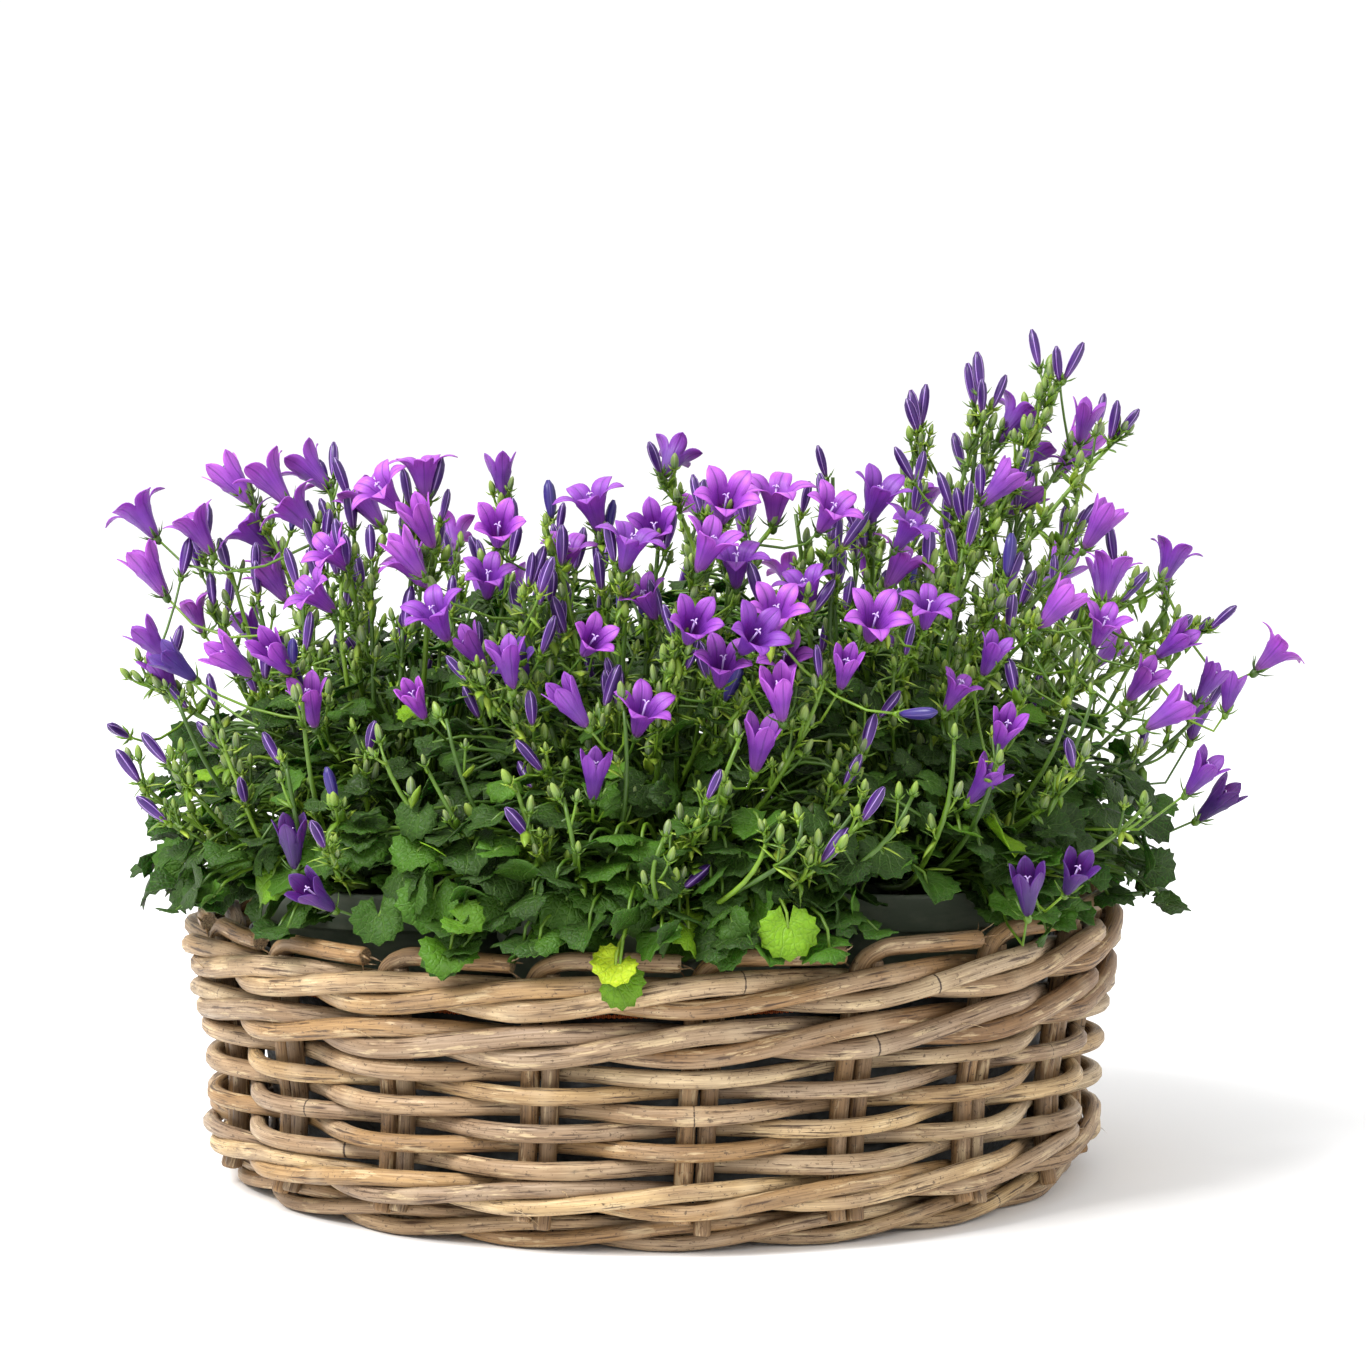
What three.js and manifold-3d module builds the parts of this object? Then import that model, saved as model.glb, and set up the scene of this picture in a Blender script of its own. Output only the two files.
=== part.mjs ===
// Dalmatian bellflowers in five nursery pots, standing in a round woven rattan basket.
// Millimetres, +Z up, the front looks towards -Y, and the middle of the basket's base is the origin.
import * as THREE from 'three';
import { mergeVertices } from 'three/addons/utils/BufferGeometryUtils.js';
import Module from 'manifold-3d';

const wasm = await Module();
wasm.setup();

const degree = Math.PI / 180;
const gap = 0.3;
const smoothing = 0.17;

// Basket wall: stakes, their spacing round the wall, and the wall's outline
const stakeCount = 18;
const stakeSpacing = 2 * Math.PI / stakeCount;
const firstStakeTurn = 5 * degree;
const stakeLeanPerMm = 0.00033;
const stakeWidth = 7.5;
const stakeDepth = 7;
const stakePairOffset = 3.9;
const footRadius = 161.3;
const waistRadius = 170;
const rimRadius = 178;
const waistHeight = 50;
const rimHeight = 108;

// The woven rows from the floor up; a wale row is three strands that pass over two stakes and behind one
const rows = [
  { name: 'foot_wale', wale: true, height: 6.8, depth: 5.6 },
  { name: 'bottom_wale', wale: true, height: 6.6, depth: 7.2 },
  { name: 'side_row_1', wale: false, height: 7, depth: 7.4 },
  { name: 'side_row_2', wale: false, height: 7, depth: 7.4 },
  { name: 'side_row_3', wale: false, height: 7, depth: 7.4 },
  { name: 'side_row_4', wale: false, height: 7, depth: 7.4 },
  { name: 'side_row_5', wale: false, height: 7, depth: 7.4 },
  { name: 'side_row_6', wale: false, height: 7, depth: 7.4 },
  { name: 'lower_top_wale', wale: true, height: 8.6, depth: 8 },
  { name: 'upper_top_wale', wale: true, height: 8.6, depth: 8 },
];
const knotShare = 0.25;
const chordSag = 1.1;
const crossingGap = 0.9;
const meanLift = 0.955;
const frontLift = 0.035;
const rightLift = 0.03;

// Base, liner, pots and soil
const baseThickness = 9;
const baseRadius = 151.5;
const linerFootRadius = 149.6;
const linerWall = 1.2;
const potCount = 5;
const potRing = 103.6;
const potWall = 1.4;
const potHeight = 113;
const potFootRadius = 42;
const potShoulderRadius = 55;
const potRimRadius = 59.8;
const potRimHeight = 15;
const soilBelowRim = 9;
const potSides = 16;

// Crowns: the woody stock of each plant, standing in a plain hole in its soil
const crownRadius = 7;
const crownDepth = 14;
const crownAbove = 8;
const flowerCrownOffset = 13;

// The mass of flowers is a dome; a bloom seen in front stands on its near side
const domeCentre = new THREE.Vector3(10, 0, 120);
const domeReach = new THREE.Vector3(240, 210, 185);

// The leaves stand on a lower dome, out of a heart of packed leaves and stalks that is smaller still
const leafDomeCentre = new THREE.Vector3(0, 0, 112);
const leafDomeReach = new THREE.Vector3(202, 186, 114);
const heartFloor = 128;
const heartReach = new THREE.Vector3(120, 114, 70);
const heartColumns = 15;
const heartLevels = [0, 26 * degree, 50 * degree, 72 * degree];
const heartRoughness = 0.12;
const heartClearance = 1;
const rootDepth = 0.74;
const rootClearance = 4;
const rootStep = 0.05;
const rootAimShare = 0.6;
const rootAimHeight = 22;
const neckRadius = 5;
const neckReach = 7;

// Blooms and tall buds that show in front: the place across and the height of each one's foot, in centimetres
const frontBlooms = [
  [-20, 25.4], [-16.7, 25.9], [-16.1, 26.7], [-14.6, 26.8], [-13.1, 27.2], [-13.3, 25.9], [-17.7, 24.8],
  [-16.6, 24.3], [-19.6, 23.1], [-19.2, 22.1], [-12.2, 23.4], [-15.2, 21.1], [-17.7, 20.6], [-13.7, 21.3],
  [-19.1, 20.9], [-20.2, 19.8], [-9.8, 27.1], [-13.6, 19.7], [-11.7, 24.9], [-8.8, 27.5], [-8.6, 25],
  [-9.7, 25.4], [-8.4, 25.8], [-7.2, 25.7], [-5.8, 26.1], [-3.9, 26.7], [-1.9, 26.6], [-1, 25.4],
  [-7.6, 22.8], [-6.5, 21.9], [-5.5, 22.3], [-2.5, 22.3], [-8.5, 19.8], [-2.3, 20.1], [-5.1, 21.2],
  [0.3, 26.1], [1.8, 25.4], [2.7, 27], [4.7, 26.7], [3.4, 25.5], [1.4, 22.9], [0.2, 23.5], [2.6, 21.2],
  [-0.5, 19.4], [-2.1, 17.2], [3.4, 22.6], [4.6, 23.1], [6.1, 23.7], [5.4, 22.4], [7.1, 21.2], [4.9, 20.2],
  [4, 18.4], [8.2, 22.8], [9.3, 26], [9.3, 24.8], [8.3, 26.9], [6.4, 26.7], [14, 29.1], [15.5, 29.1],
  [17.3, 29.1], [15.4, 27.6], [16.5, 27.7], [17.1, 25.3], [12.9, 27.2], [20.5, 23.6], [17.1, 22],
  [19.7, 21.4], [14.8, 22.9], [12.6, 21.3], [11.8, 20.6], [10.3, 23.2], [19.6, 20.2], [24.4, 20],
  [22.9, 18.6], [21.4, 19.5], [18.9, 19.1], [17.6, 23.6], [13, 18.6], [12, 16.7], [20.5, 16.6],
  [14.5, 12.7], [15.6, 13.4], [-13.4, 14.1], [-11.8, 13],
];
const tallBuds = [
  [16.3, 31.7], [13.2, 30.4], [10.7, 29.6], [18.6, 29.5], [10.2, 28.2], [-18.9, 23.9], [-4.1, 24.6],
  [9.2, 20.4], [20.4, 22.1], [-20.4, 18.2],
];
const frontDepthSpread = 38;
const backBloomCount = 20;
const bloomsPerStem = 4;
const stemsPerBud = 3;
const stemStations = 24;
const stalkDrop = 18;
const sideBudReach = 12;
const settlingStep = 6;
const settlingSteps = 7;

// Sizes of the repeated parts of the plant
const bloomLength = 24;
const bloomRadius = 13.5;
const budLength = 16;
const budRadius = 2.6;
const stemRadius = 1.5;
const stalkRadius = 0.55;
const leafStalkRadius = 0.9;
const leafRadius = 13.5;
const leafThickness = 1.6;
const leafCount = 62;
const leafAttempts = 5;
const leafSetBack = 0.6;

// A bell's form, as shares of its length and radius; its lobes are a fifth of a turn apart
const throatDepth = 0.5;
const waistWidth = 0.44;
const lobeHeight = 0.9;
const notchWidth = 0.58;
const notchHeight = 0.86;
const lobeTurn = 72 * degree;

// How far the foliage's heart keeps clear of what passes through it
const stemPassage = 2.5;
const stalkPassage = 1.9;
const budPassage = budRadius + 1;

// The plants keep out of the basket's rim by a guard round it
const guardHeight = 60;
const guardInside = 14;
const guardOutside = 16;
const guardRise = 8;

function seededRandom(seed) {
  let state = seed >>> 0;
  return () => {
    state = (Math.imul(state, 1664525) + 1013904223) >>> 0;
    return state / 4294967296;
  };
}

// Turns a closed geometry into a solid whose shared corners are merged.
function solidOf(geometry) {
  geometry.deleteAttribute('normal');
  geometry.deleteAttribute('uv');
  const merged = mergeVertices(geometry, 1e-3);
  const mesh = new wasm.Mesh({
    numProp: 3,
    vertProperties: new Float32Array(merged.attributes.position.array),
    triVerts: new Uint32Array(merged.index.array),
  });
  return new wasm.Manifold(mesh);
}

function geometryOf(solid) {
  const mesh = solid.getMesh();
  const geometry = new THREE.BufferGeometry();
  geometry.setAttribute('position', new THREE.BufferAttribute(new Float32Array(mesh.vertProperties), 3));
  geometry.setIndex(new THREE.BufferAttribute(new Uint32Array(mesh.triVerts), 1));
  geometry.computeVertexNormals();
  return geometry;
}

// Joins rings of points, each with the same count, into a closed skin: a loop, or a rod with flat ends.
function skin(rings, loop) {
  const sides = rings[0].length;
  const faces = [];
  const bands = loop ? rings.length : rings.length - 1;
  for (let band = 0; band < bands; band += 1) {
    const here = band * sides;
    const next = ((band + 1) % rings.length) * sides;
    for (let side = 0; side < sides; side += 1) {
      const beside = (side + 1) % sides;
      faces.push(here + side, here + beside, next + side);
      faces.push(here + beside, next + beside, next + side);
    }
  }
  if (!loop) {
    const last = (rings.length - 1) * sides;
    for (let side = 1; side < sides - 1; side += 1) {
      faces.push(0, side + 1, side);
      faces.push(last, last + side, last + side + 1);
    }
  }
  return indexed(rings.flat(), faces);
}

function indexed(points, faces) {
  const geometry = new THREE.BufferGeometry();
  const positions = points.flatMap((point) => point.toArray());
  geometry.setAttribute('position', new THREE.Float32BufferAttribute(positions, 3));
  geometry.setIndex(faces);
  return geometry;
}

// A ring of points round a centre, in the plane of two half-axes that already have their lengths.
function section(centre, across, along, sides) {
  return Array.from({ length: sides }, (unused, side) => {
    const angle = 2 * Math.PI * side / sides;
    return centre.clone()
      .addScaledVector(across, Math.cos(angle))
      .addScaledVector(along, Math.sin(angle));
  });
}

// The three-sided section of a cane: a ridge outside and a flat back.
function wedge(centre, outward, across) {
  return [
    centre.clone().add(outward),
    centre.clone().sub(outward).add(across),
    centre.clone().sub(outward).sub(across),
  ];
}

// A rod along a path, with a radius at each of its points.
function rod(path, radii, sides) {
  const rings = path.map((point, index) => {
    const before = path[Math.max(index - 1, 0)];
    const after = path[Math.min(index + 1, path.length - 1)];
    const forward = after.clone().sub(before).normalize();
    const helper = Math.abs(forward.z) > 0.8 ? new THREE.Vector3(0, 1, 0) : new THREE.Vector3(0, 0, 1);
    const across = helper.clone().cross(forward).normalize();
    const along = forward.clone().cross(across);
    return section(point, across.multiplyScalar(radii[index]), along.multiplyScalar(radii[index]), sides);
  });
  return solidOf(skin(rings, false));
}

function turned(profile, sides) {
  const points = profile.map(([radius, height]) => new THREE.Vector2(radius, height));
  return solidOf(new THREE.LatheGeometry(points, sides).rotateX(Math.PI / 2));
}

// The basket's wall: its radius at a height, and a point on it. The rim is a little higher in front
// and to the right, so every height in the wall is scaled by its place round the basket.
function wallRadius(height) {
  const share = (height - waistHeight) / (rimHeight - waistHeight);
  return waistRadius + (rimRadius - waistRadius) * Math.max(share, 0);
}

function rimLift(turn) {
  return meanLift + frontLift * Math.cos(turn) + rightLift * Math.sin(turn);
}

function wallPoint(turn, radius, height) {
  const leaned = turn + stakeLeanPerMm * height;
  return new THREE.Vector3(
    radius * Math.sin(leaned),
    -radius * Math.cos(leaned),
    height * rimLift(turn),
  );
}

// A strand of a woven row: two knots at each stake, outside or inside it, at the strand's own level.
function strandKnots(row, strand) {
  const knots = [];
  const period = row.wale ? 3 : 2;
  for (let stake = 0; stake < stakeCount; stake += 1) {
    const beat = (stake + strand) % period;
    const side = beat === period - 1 ? -1 : 1;
    const entry = row.wale && beat > 0 ? 1 : -1;
    const exit = row.wale && beat === 1 ? 1 : -1;
    knots.push({ place: stake - knotShare, side, level: entry });
    knots.push({ place: stake + knotShare, side, level: exit });
  }
  return knots;
}

function strandSolid(row, strand) {
  const rise = row.wale ? (row.height + crossingGap) / 2 : 0;
  const isFoot = row.name.startsWith('foot');
  const outward = isFoot ? row.depth + gap : stakeDepth / 2 + gap + row.depth / 2 + chordSag;
  const inward = isFoot ? row.depth + gap : stakeDepth / 2 + row.depth / 2;
  const rings = strandKnots(row, strand).map((knot) => {
    const turn = firstStakeTurn + knot.place * stakeSpacing;
    const height = row.centre + knot.level * rise;
    const wall = isFoot ? footRadius : wallRadius(height);
    const radius = wall + (knot.side > 0 ? outward : -inward);
    const centre = wallPoint(turn, radius, height);
    const outermost = wallPoint(turn, radius + row.depth / 2, height).sub(centre);
    const topmost = new THREE.Vector3(0, 0, row.height / 2 * rimLift(turn));
    return wedge(centre, outermost, topmost.negate());
  });
  return solidOf(skin(rings, true));
}

// Stacks the rows from the floor up and gives each its centre height.
function stackRows() {
  let top = 0;
  for (const row of rows) {
    const half = row.wale ? row.height + crossingGap / 2 : row.height / 2;
    row.centre = top + half;
    top = row.centre + half + gap;
  }
  return top;
}
const borderHeight = stackRows() + stakeWidth / 2;
const stakeBottom = rows[0].centre + rows[0].height + crossingGap / 2 + gap;

function stakeStrand(turn, places) {
  const rings = places.map(({ along, height, out, flat }) => {
    const radius = wallRadius(Math.min(height, rimHeight)) + out;
    const centre = wallPoint(turn + along / radius, radius, height);
    const outermost = wallPoint(turn + along / radius, radius + stakeDepth / 2, height).sub(centre);
    const forward = wallPoint(turn + (along + 1) / radius, radius, height).sub(centre).normalize();
    const upward = new THREE.Vector3(0, 0, 1);
    const cross = forward.multiplyScalar(Math.cos(flat)).addScaledVector(upward, -Math.sin(flat));
    return wedge(centre, outermost, cross.multiplyScalar(stakeWidth / 2));
  });
  return solidOf(skin(rings, false));
}

// A pair of stakes side by side: the left one bends over to the right and lies along the rim.
function stakePair(index) {
  const turn = firstStakeTurn + index * stakeSpacing;
  const reach = rimRadius * stakeSpacing;
  const left = stakeStrand(turn, [
    { along: -stakePairOffset, height: stakeBottom, out: 0, flat: 0 },
    { along: -stakePairOffset, height: waistHeight, out: 0, flat: 0 },
    { along: -stakePairOffset, height: rimHeight - 3, out: 0, flat: 0 },
    { along: -1.5, height: borderHeight - 1, out: 0, flat: Math.PI / 4 },
    { along: 8, height: borderHeight, out: 0, flat: Math.PI / 2 },
    { along: reach * 0.5, height: borderHeight, out: 1.5, flat: Math.PI / 2 },
    { along: reach * 0.84, height: borderHeight, out: 2.5, flat: Math.PI / 2 },
  ]);
  const right = stakeStrand(turn, [
    { along: stakePairOffset, height: stakeBottom, out: 0, flat: 0 },
    { along: stakePairOffset, height: waistHeight, out: 0, flat: 0 },
    { along: stakePairOffset, height: rimHeight + 1.5, out: 0, flat: 0 },
  ]);
  return left.add(right);
}

// The base: a flat woven disc, ridged as its rings of cane run, lying on the floor at its middle.
function baseSolid() {
  const lowRidge = 3;
  return turned([
    [0, 0], [52, 0], [64, lowRidge], [78, 0.6], [100, lowRidge], [116, 0.6], [baseRadius, lowRidge],
    [baseRadius, baseThickness], [0, baseThickness],
  ], 24);
}

// The liner: a thin plastic bag pressed against the weavers' inner side.
const linerFloor = baseThickness + gap;
const lowestLift = meanLift - Math.hypot(frontLift, rightLift);
const linerTop = rimHeight * lowestLift;
function linerSolid() {
  const clear = stakeDepth / 2 + rows[8].depth + gap + 2 * chordSag;
  const waist = waistRadius - clear;
  const rim = rimRadius - clear - 1;
  return turned([
    [0, linerFloor], [linerFootRadius, linerFloor], [waist, waistHeight], [rim, linerTop],
    [rim - linerWall, linerTop], [waist - linerWall, waistHeight],
    [linerFootRadius - linerWall, linerFloor + linerWall], [0, linerFloor + linerWall],
  ], 24);
}

const potFloor = linerFloor + linerWall + gap;
const soilTop = potFloor + potHeight - soilBelowRim;
function potSolid() {
  const top = potFloor + potHeight;
  const shoulder = top - potRimHeight;
  return turned([
    [0, potFloor], [potFootRadius, potFloor], [potShoulderRadius, shoulder],
    [potRimRadius - 0.8, shoulder + 0.5], [potRimRadius, top], [potRimRadius - 2 * potWall, top],
    [potShoulderRadius - potWall, shoulder], [potFootRadius - potWall, potFloor + potWall],
    [0, potFloor + potWall],
  ], potSides);
}

function crownPlaces() {
  const spread = crownRadius + flowerCrownOffset;
  return [new THREE.Vector3(-spread / 2, 0, 0), new THREE.Vector3(spread / 2, 0, 0)];
}

// Soil fills the pot and has a plain hole for each of its two crowns.
function soilSolid() {
  const shoulder = potFloor + potHeight - potRimHeight;
  const clear = potWall + gap + 0.7;
  const body = turned([
    [0, potFloor + potWall + gap], [potFootRadius - clear, potFloor + potWall + gap],
    [potShoulderRadius - clear, shoulder - 1], [potShoulderRadius - clear - 1, soilTop], [0, soilTop],
  ], potSides);
  const holes = crownPlaces().map((place) => rod([
    new THREE.Vector3(place.x, place.y, soilTop - crownDepth - gap),
    new THREE.Vector3(place.x, place.y, soilTop + 10),
  ], [crownRadius + gap, crownRadius + gap], 6));
  return body.subtract(wasm.Manifold.union(holes));
}

// The three-sided section of a bell's stalk, turned half way between the stalk's course and the bell's.
function stalkSection(centre, root, foot, direction, across, spin) {
  const course = foot.clone().sub(root).normalize().add(direction).normalize();
  const level = across.clone().addScaledVector(course, -across.dot(course)).normalize();
  const upright = course.clone().cross(level);
  return [0, 1, 2].map((side) => centre.clone()
    .addScaledVector(level, stalkRadius * Math.cos(spin + side * 120 * degree))
    .addScaledVector(upright, stalkRadius * Math.sin(spin + side * 120 * degree)));
}

// A bell with its stalk in one skin: three sides from the stalk's root to the bell's foot, then a waist
// of five, a mouth of five pointed lobes and a hollow throat.
function stalkedBell(root, foot, direction, spin, size) {
  const across = new THREE.Vector3(0, 0, 1).cross(direction).normalize();
  const along = direction.clone().cross(across);
  const at = (radius, angle, up) => foot.clone()
    .addScaledVector(across, radius * Math.cos(angle))
    .addScaledVector(along, radius * Math.sin(angle))
    .addScaledVector(direction, up);
  const length = bloomLength * size;
  const radius = bloomRadius * size;
  const throat = at(0, 0, throatDepth * length);
  const points = [throat, ...stalkSection(root, root, foot, direction, across, spin)];
  points.push(...stalkSection(foot, root, foot, direction, across, spin));
  for (let lobe = 0; lobe < 5; lobe += 1) {
    const tip = spin + lobe * lobeTurn;
    const notch = tip + lobeTurn / 2;
    points.push(at(waistWidth * radius, tip, throatDepth * length));
    points.push(at(radius, tip, lobeHeight * length));
    points.push(at(notchWidth * radius, notch, notchHeight * length));
  }
  const faces = [1, 3, 2];
  for (let side = 0; side < 3; side += 1) {
    const low = 1 + side;
    const nextLow = 1 + (side + 1) % 3;
    faces.push(low, nextLow, low + 3, nextLow, nextLow + 3, low + 3);
  }
  const waist = (lobe) => 7 + 3 * (lobe % 5);
  faces.push(4, 5, waist(1), 4, waist(1), waist(0), 5, 6, waist(3), 5, waist(3), waist(2));
  faces.push(5, waist(2), waist(1), 6, 4, waist(0), 6, waist(0), waist(4), 6, waist(4), waist(3));
  for (let lobe = 0; lobe < 5; lobe += 1) {
    const here = waist(lobe);
    const next = waist(lobe + 1);
    faces.push(here, next, here + 2, here, here + 2, here + 1, next, next + 1, here + 2);
    faces.push(0, here + 1, here + 2, 0, here + 2, next + 1);
  }
  return solidOf(indexed(points, faces));
}

// A heart-shaped toothed leaf with its stalk in one skin: a blade folded along its midrib that points
// along a direction, and three sides of stalk from its notch back to the root.
const leafOutline = [[-0.3, 0.42], [0.15, 0.95], [0.5, 0.76], [0.92, 0.9], [1.62, 0]];
const leafFold = 0.16;
function stalkedLeaf(root, end, direction, size) {
  const radius = leafRadius * size;
  const side = direction.clone().cross(new THREE.Vector3(0, 0, 1)).normalize();
  const upper = side.clone().cross(direction);
  const at = (along, across, up) => end.clone()
    .addScaledVector(direction, along * radius)
    .addScaledVector(side, across * radius)
    .addScaledVector(upper, up);
  const mirrored = leafOutline.slice(0, -1).reverse().map(([along, across]) => [along, -across]);
  const outline = [...leafOutline, ...mirrored];
  const course = end.clone().sub(root).normalize().add(direction).normalize();
  const lift = side.clone().cross(course).normalize();
  const ring = (centre, width) => [
    centre.clone().addScaledVector(lift, width),
    centre.clone().addScaledVector(side, width).addScaledVector(lift, -0.5 * width),
    centre.clone().addScaledVector(side, -width).addScaledVector(lift, -0.5 * width),
  ];
  const points = [at(0.6, 0, leafThickness), ...ring(end, leafStalkRadius), ...ring(root, leafStalkRadius)];
  outline.forEach(([along, across]) => points.push(at(along, across, radius * leafFold * Math.abs(across))));
  const faces = [0, 1, 2, 0, 3, 1, 4, 6, 5];
  for (let corner = 0; corner < 3; corner += 1) {
    const here = 1 + corner;
    const beside = 1 + (corner + 1) % 3;
    faces.push(here, here + 3, beside, beside, here + 3, beside + 3);
  }
  const edge = [2, ...outline.map((unused, index) => 7 + index), 3];
  for (let index = 0; index < edge.length - 1; index += 1) {
    faces.push(0, edge[index], edge[index + 1]);
  }
  for (let index = 0; index < edge.length - 2; index += 1) {
    faces.push(3, edge[index + 1], edge[index]);
  }
  return solidOf(indexed(points, faces));
}

function domePoint(across, height) {
  const sideways = (across - domeCentre.x) / domeReach.x;
  const upwards = (height - domeCentre.z) / domeReach.z;
  const left = Math.max(1 - sideways * sideways - upwards * upwards, 0);
  return new THREE.Vector3(across, domeCentre.y - domeReach.y * Math.sqrt(left), height);
}

// Every bloom's place: the ones seen in front, and as many behind as a dome of them holds.
function bloomPlaces() {
  const random = seededRandom(11);
  const front = frontBlooms.map(([across, height]) => {
    const place = domePoint(10 * across, 10 * height);
    place.y += frontDepthSpread * random();
    return place;
  });
  const golden = Math.PI * (3 - Math.sqrt(5));
  const back = Array.from({ length: backBloomCount }, (unused, index) => {
    const height = 0.1 + 0.84 * (index + 0.5) / backBloomCount;
    const turn = ((index * golden) % Math.PI) + 0.02;
    const level = Math.sqrt(1 - height * height) * (0.9 + 0.1 * random());
    return new THREE.Vector3(
      domeCentre.x + domeReach.x * level * Math.cos(turn) * 0.95,
      domeCentre.y + domeReach.y * level * Math.sin(turn),
      domeCentre.z + domeReach.z * height * 0.9,
    );
  });
  return [...front, ...back];
}

function potCentre(index) {
  const turn = index * 2 * Math.PI / potCount;
  return new THREE.Vector3(potRing * Math.sin(turn), -potRing * Math.cos(turn), 0);
}

function nearestPot(place) {
  let best = 0;
  for (let index = 1; index < potCount; index += 1) {
    const nearer = potCentre(index).distanceTo(new THREE.Vector3(place.x, place.y, 0))
      < potCentre(best).distanceTo(new THREE.Vector3(place.x, place.y, 0));
    best = nearer ? index : best;
  }
  return best;
}

// Groups a pot's blooms by their direction from the pot, and calls the highest of each the stem's end.
function stemGroups(centre, blooms) {
  const bearing = (place) => Math.atan2(place.y - centre.y, place.x - centre.x);
  const sorted = [...blooms].sort((one, other) => bearing(one) - bearing(other));
  const groups = [];
  for (let start = 0; start < sorted.length; start += bloomsPerStem) {
    groups.push(sorted.slice(start, start + bloomsPerStem).sort((one, other) => other.z - one.z));
  }
  return groups;
}

function stemCurve(root, tip) {
  const middle = new THREE.Vector3(
    root.x + 0.45 * (tip.x - root.x),
    root.y + 0.45 * (tip.y - root.y),
    root.z + 0.72 * (tip.z - root.z),
  );
  return new THREE.QuadraticBezierCurve3(root, middle, tip);
}

function faceOutward(place, random) {
  const outward = new THREE.Vector3(place.x - domeCentre.x, place.y - domeCentre.y, 0).normalize();
  const direction = outward.multiplyScalar(0.5);
  direction.z = 0.45 + 0.65 * random();
  direction.x += 0.8 * (random() - 0.5);
  direction.y += 0.7 * (random() - 0.5);
  return direction.normalize();
}

// A crown: a short six-sided stock in its hole, from which everything of its plant grows.
function crownSolid(place) {
  const bottom = new THREE.Vector3(place.x, place.y, soilTop - crownDepth);
  const top = new THREE.Vector3(place.x, place.y, soilTop + crownAbove);
  return rod([bottom, top], [crownRadius, crownRadius * 0.8], 6);
}

// Adds a piece to a plant only where it keeps clear of everything that stands round it.
function isClear(piece, others) {
  return others.every((other) => piece.minGap(other, 1) > gap);
}

// Joins pieces into one solid, leaves out any that hangs loose, and fills any hollow that is sealed in.
function fuse(pieces) {
  const largest = (solid) => solid.decompose()
    .reduce((best, body) => (body.volume() > best.volume() ? body : best));
  const whole = largest(wasm.Manifold.union(pieces)).simplify(smoothing);
  return largest(solidOf(geometryOf(largest(whole))));
}

// Where a stem or leaf stalk leaves the crown: inside its top, on the side that it heads for.
function crownRoot(crown, end) {
  const bearing = Math.atan2(end.y - crown.y, end.x - crown.x);
  const reach = 0.55 * crownRadius;
  return new THREE.Vector3(
    crown.x + reach * Math.cos(bearing),
    crown.y + reach * Math.sin(bearing),
    soilTop + crownAbove - 3,
  );
}

function nearestOf(points, aim) {
  return points.reduce((best, point) => (point.distanceTo(aim) < best.distanceTo(aim) ? point : best));
}

// The place on a stem where a stalk starts: the nearest one to a point a little below what the stalk bears.
function nearestOnStem(curve, foot) {
  const below = foot.clone().setZ(foot.z - stalkDrop);
  return nearestOf(curve.getPoints(stemStations).slice(stemStations / 3), below);
}

// A closed bud on its stalk, in line with it: slender, thickest half way up and pointed.
function stalkedBud(from, foot) {
  const lean = foot.clone().sub(from).normalize();
  const belly = foot.clone().addScaledVector(lean, budLength * 0.5);
  const point = foot.clone().addScaledVector(lean, budLength);
  return rod([from, foot, belly, point], [stalkRadius, stalkRadius, budRadius, 0.4], 3);
}

function bellAlone(foot, direction, spin, size) {
  return stalkedBell(foot.clone().addScaledVector(direction, -2), foot, direction, spin, size);
}

// Draws a bloom back into the mass in small steps until it crosses no other bloom.
function settledFoot(place, direction, spin, size, others) {
  const inward = domeCentre.clone().sub(place).normalize();
  for (let step = 0; step < settlingSteps; step += 1) {
    const foot = place.clone().addScaledVector(inward, settlingStep * step);
    if (isClear(bellAlone(foot, direction, spin, size), others)) {
      return foot;
    }
  }
  return place;
}

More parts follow.
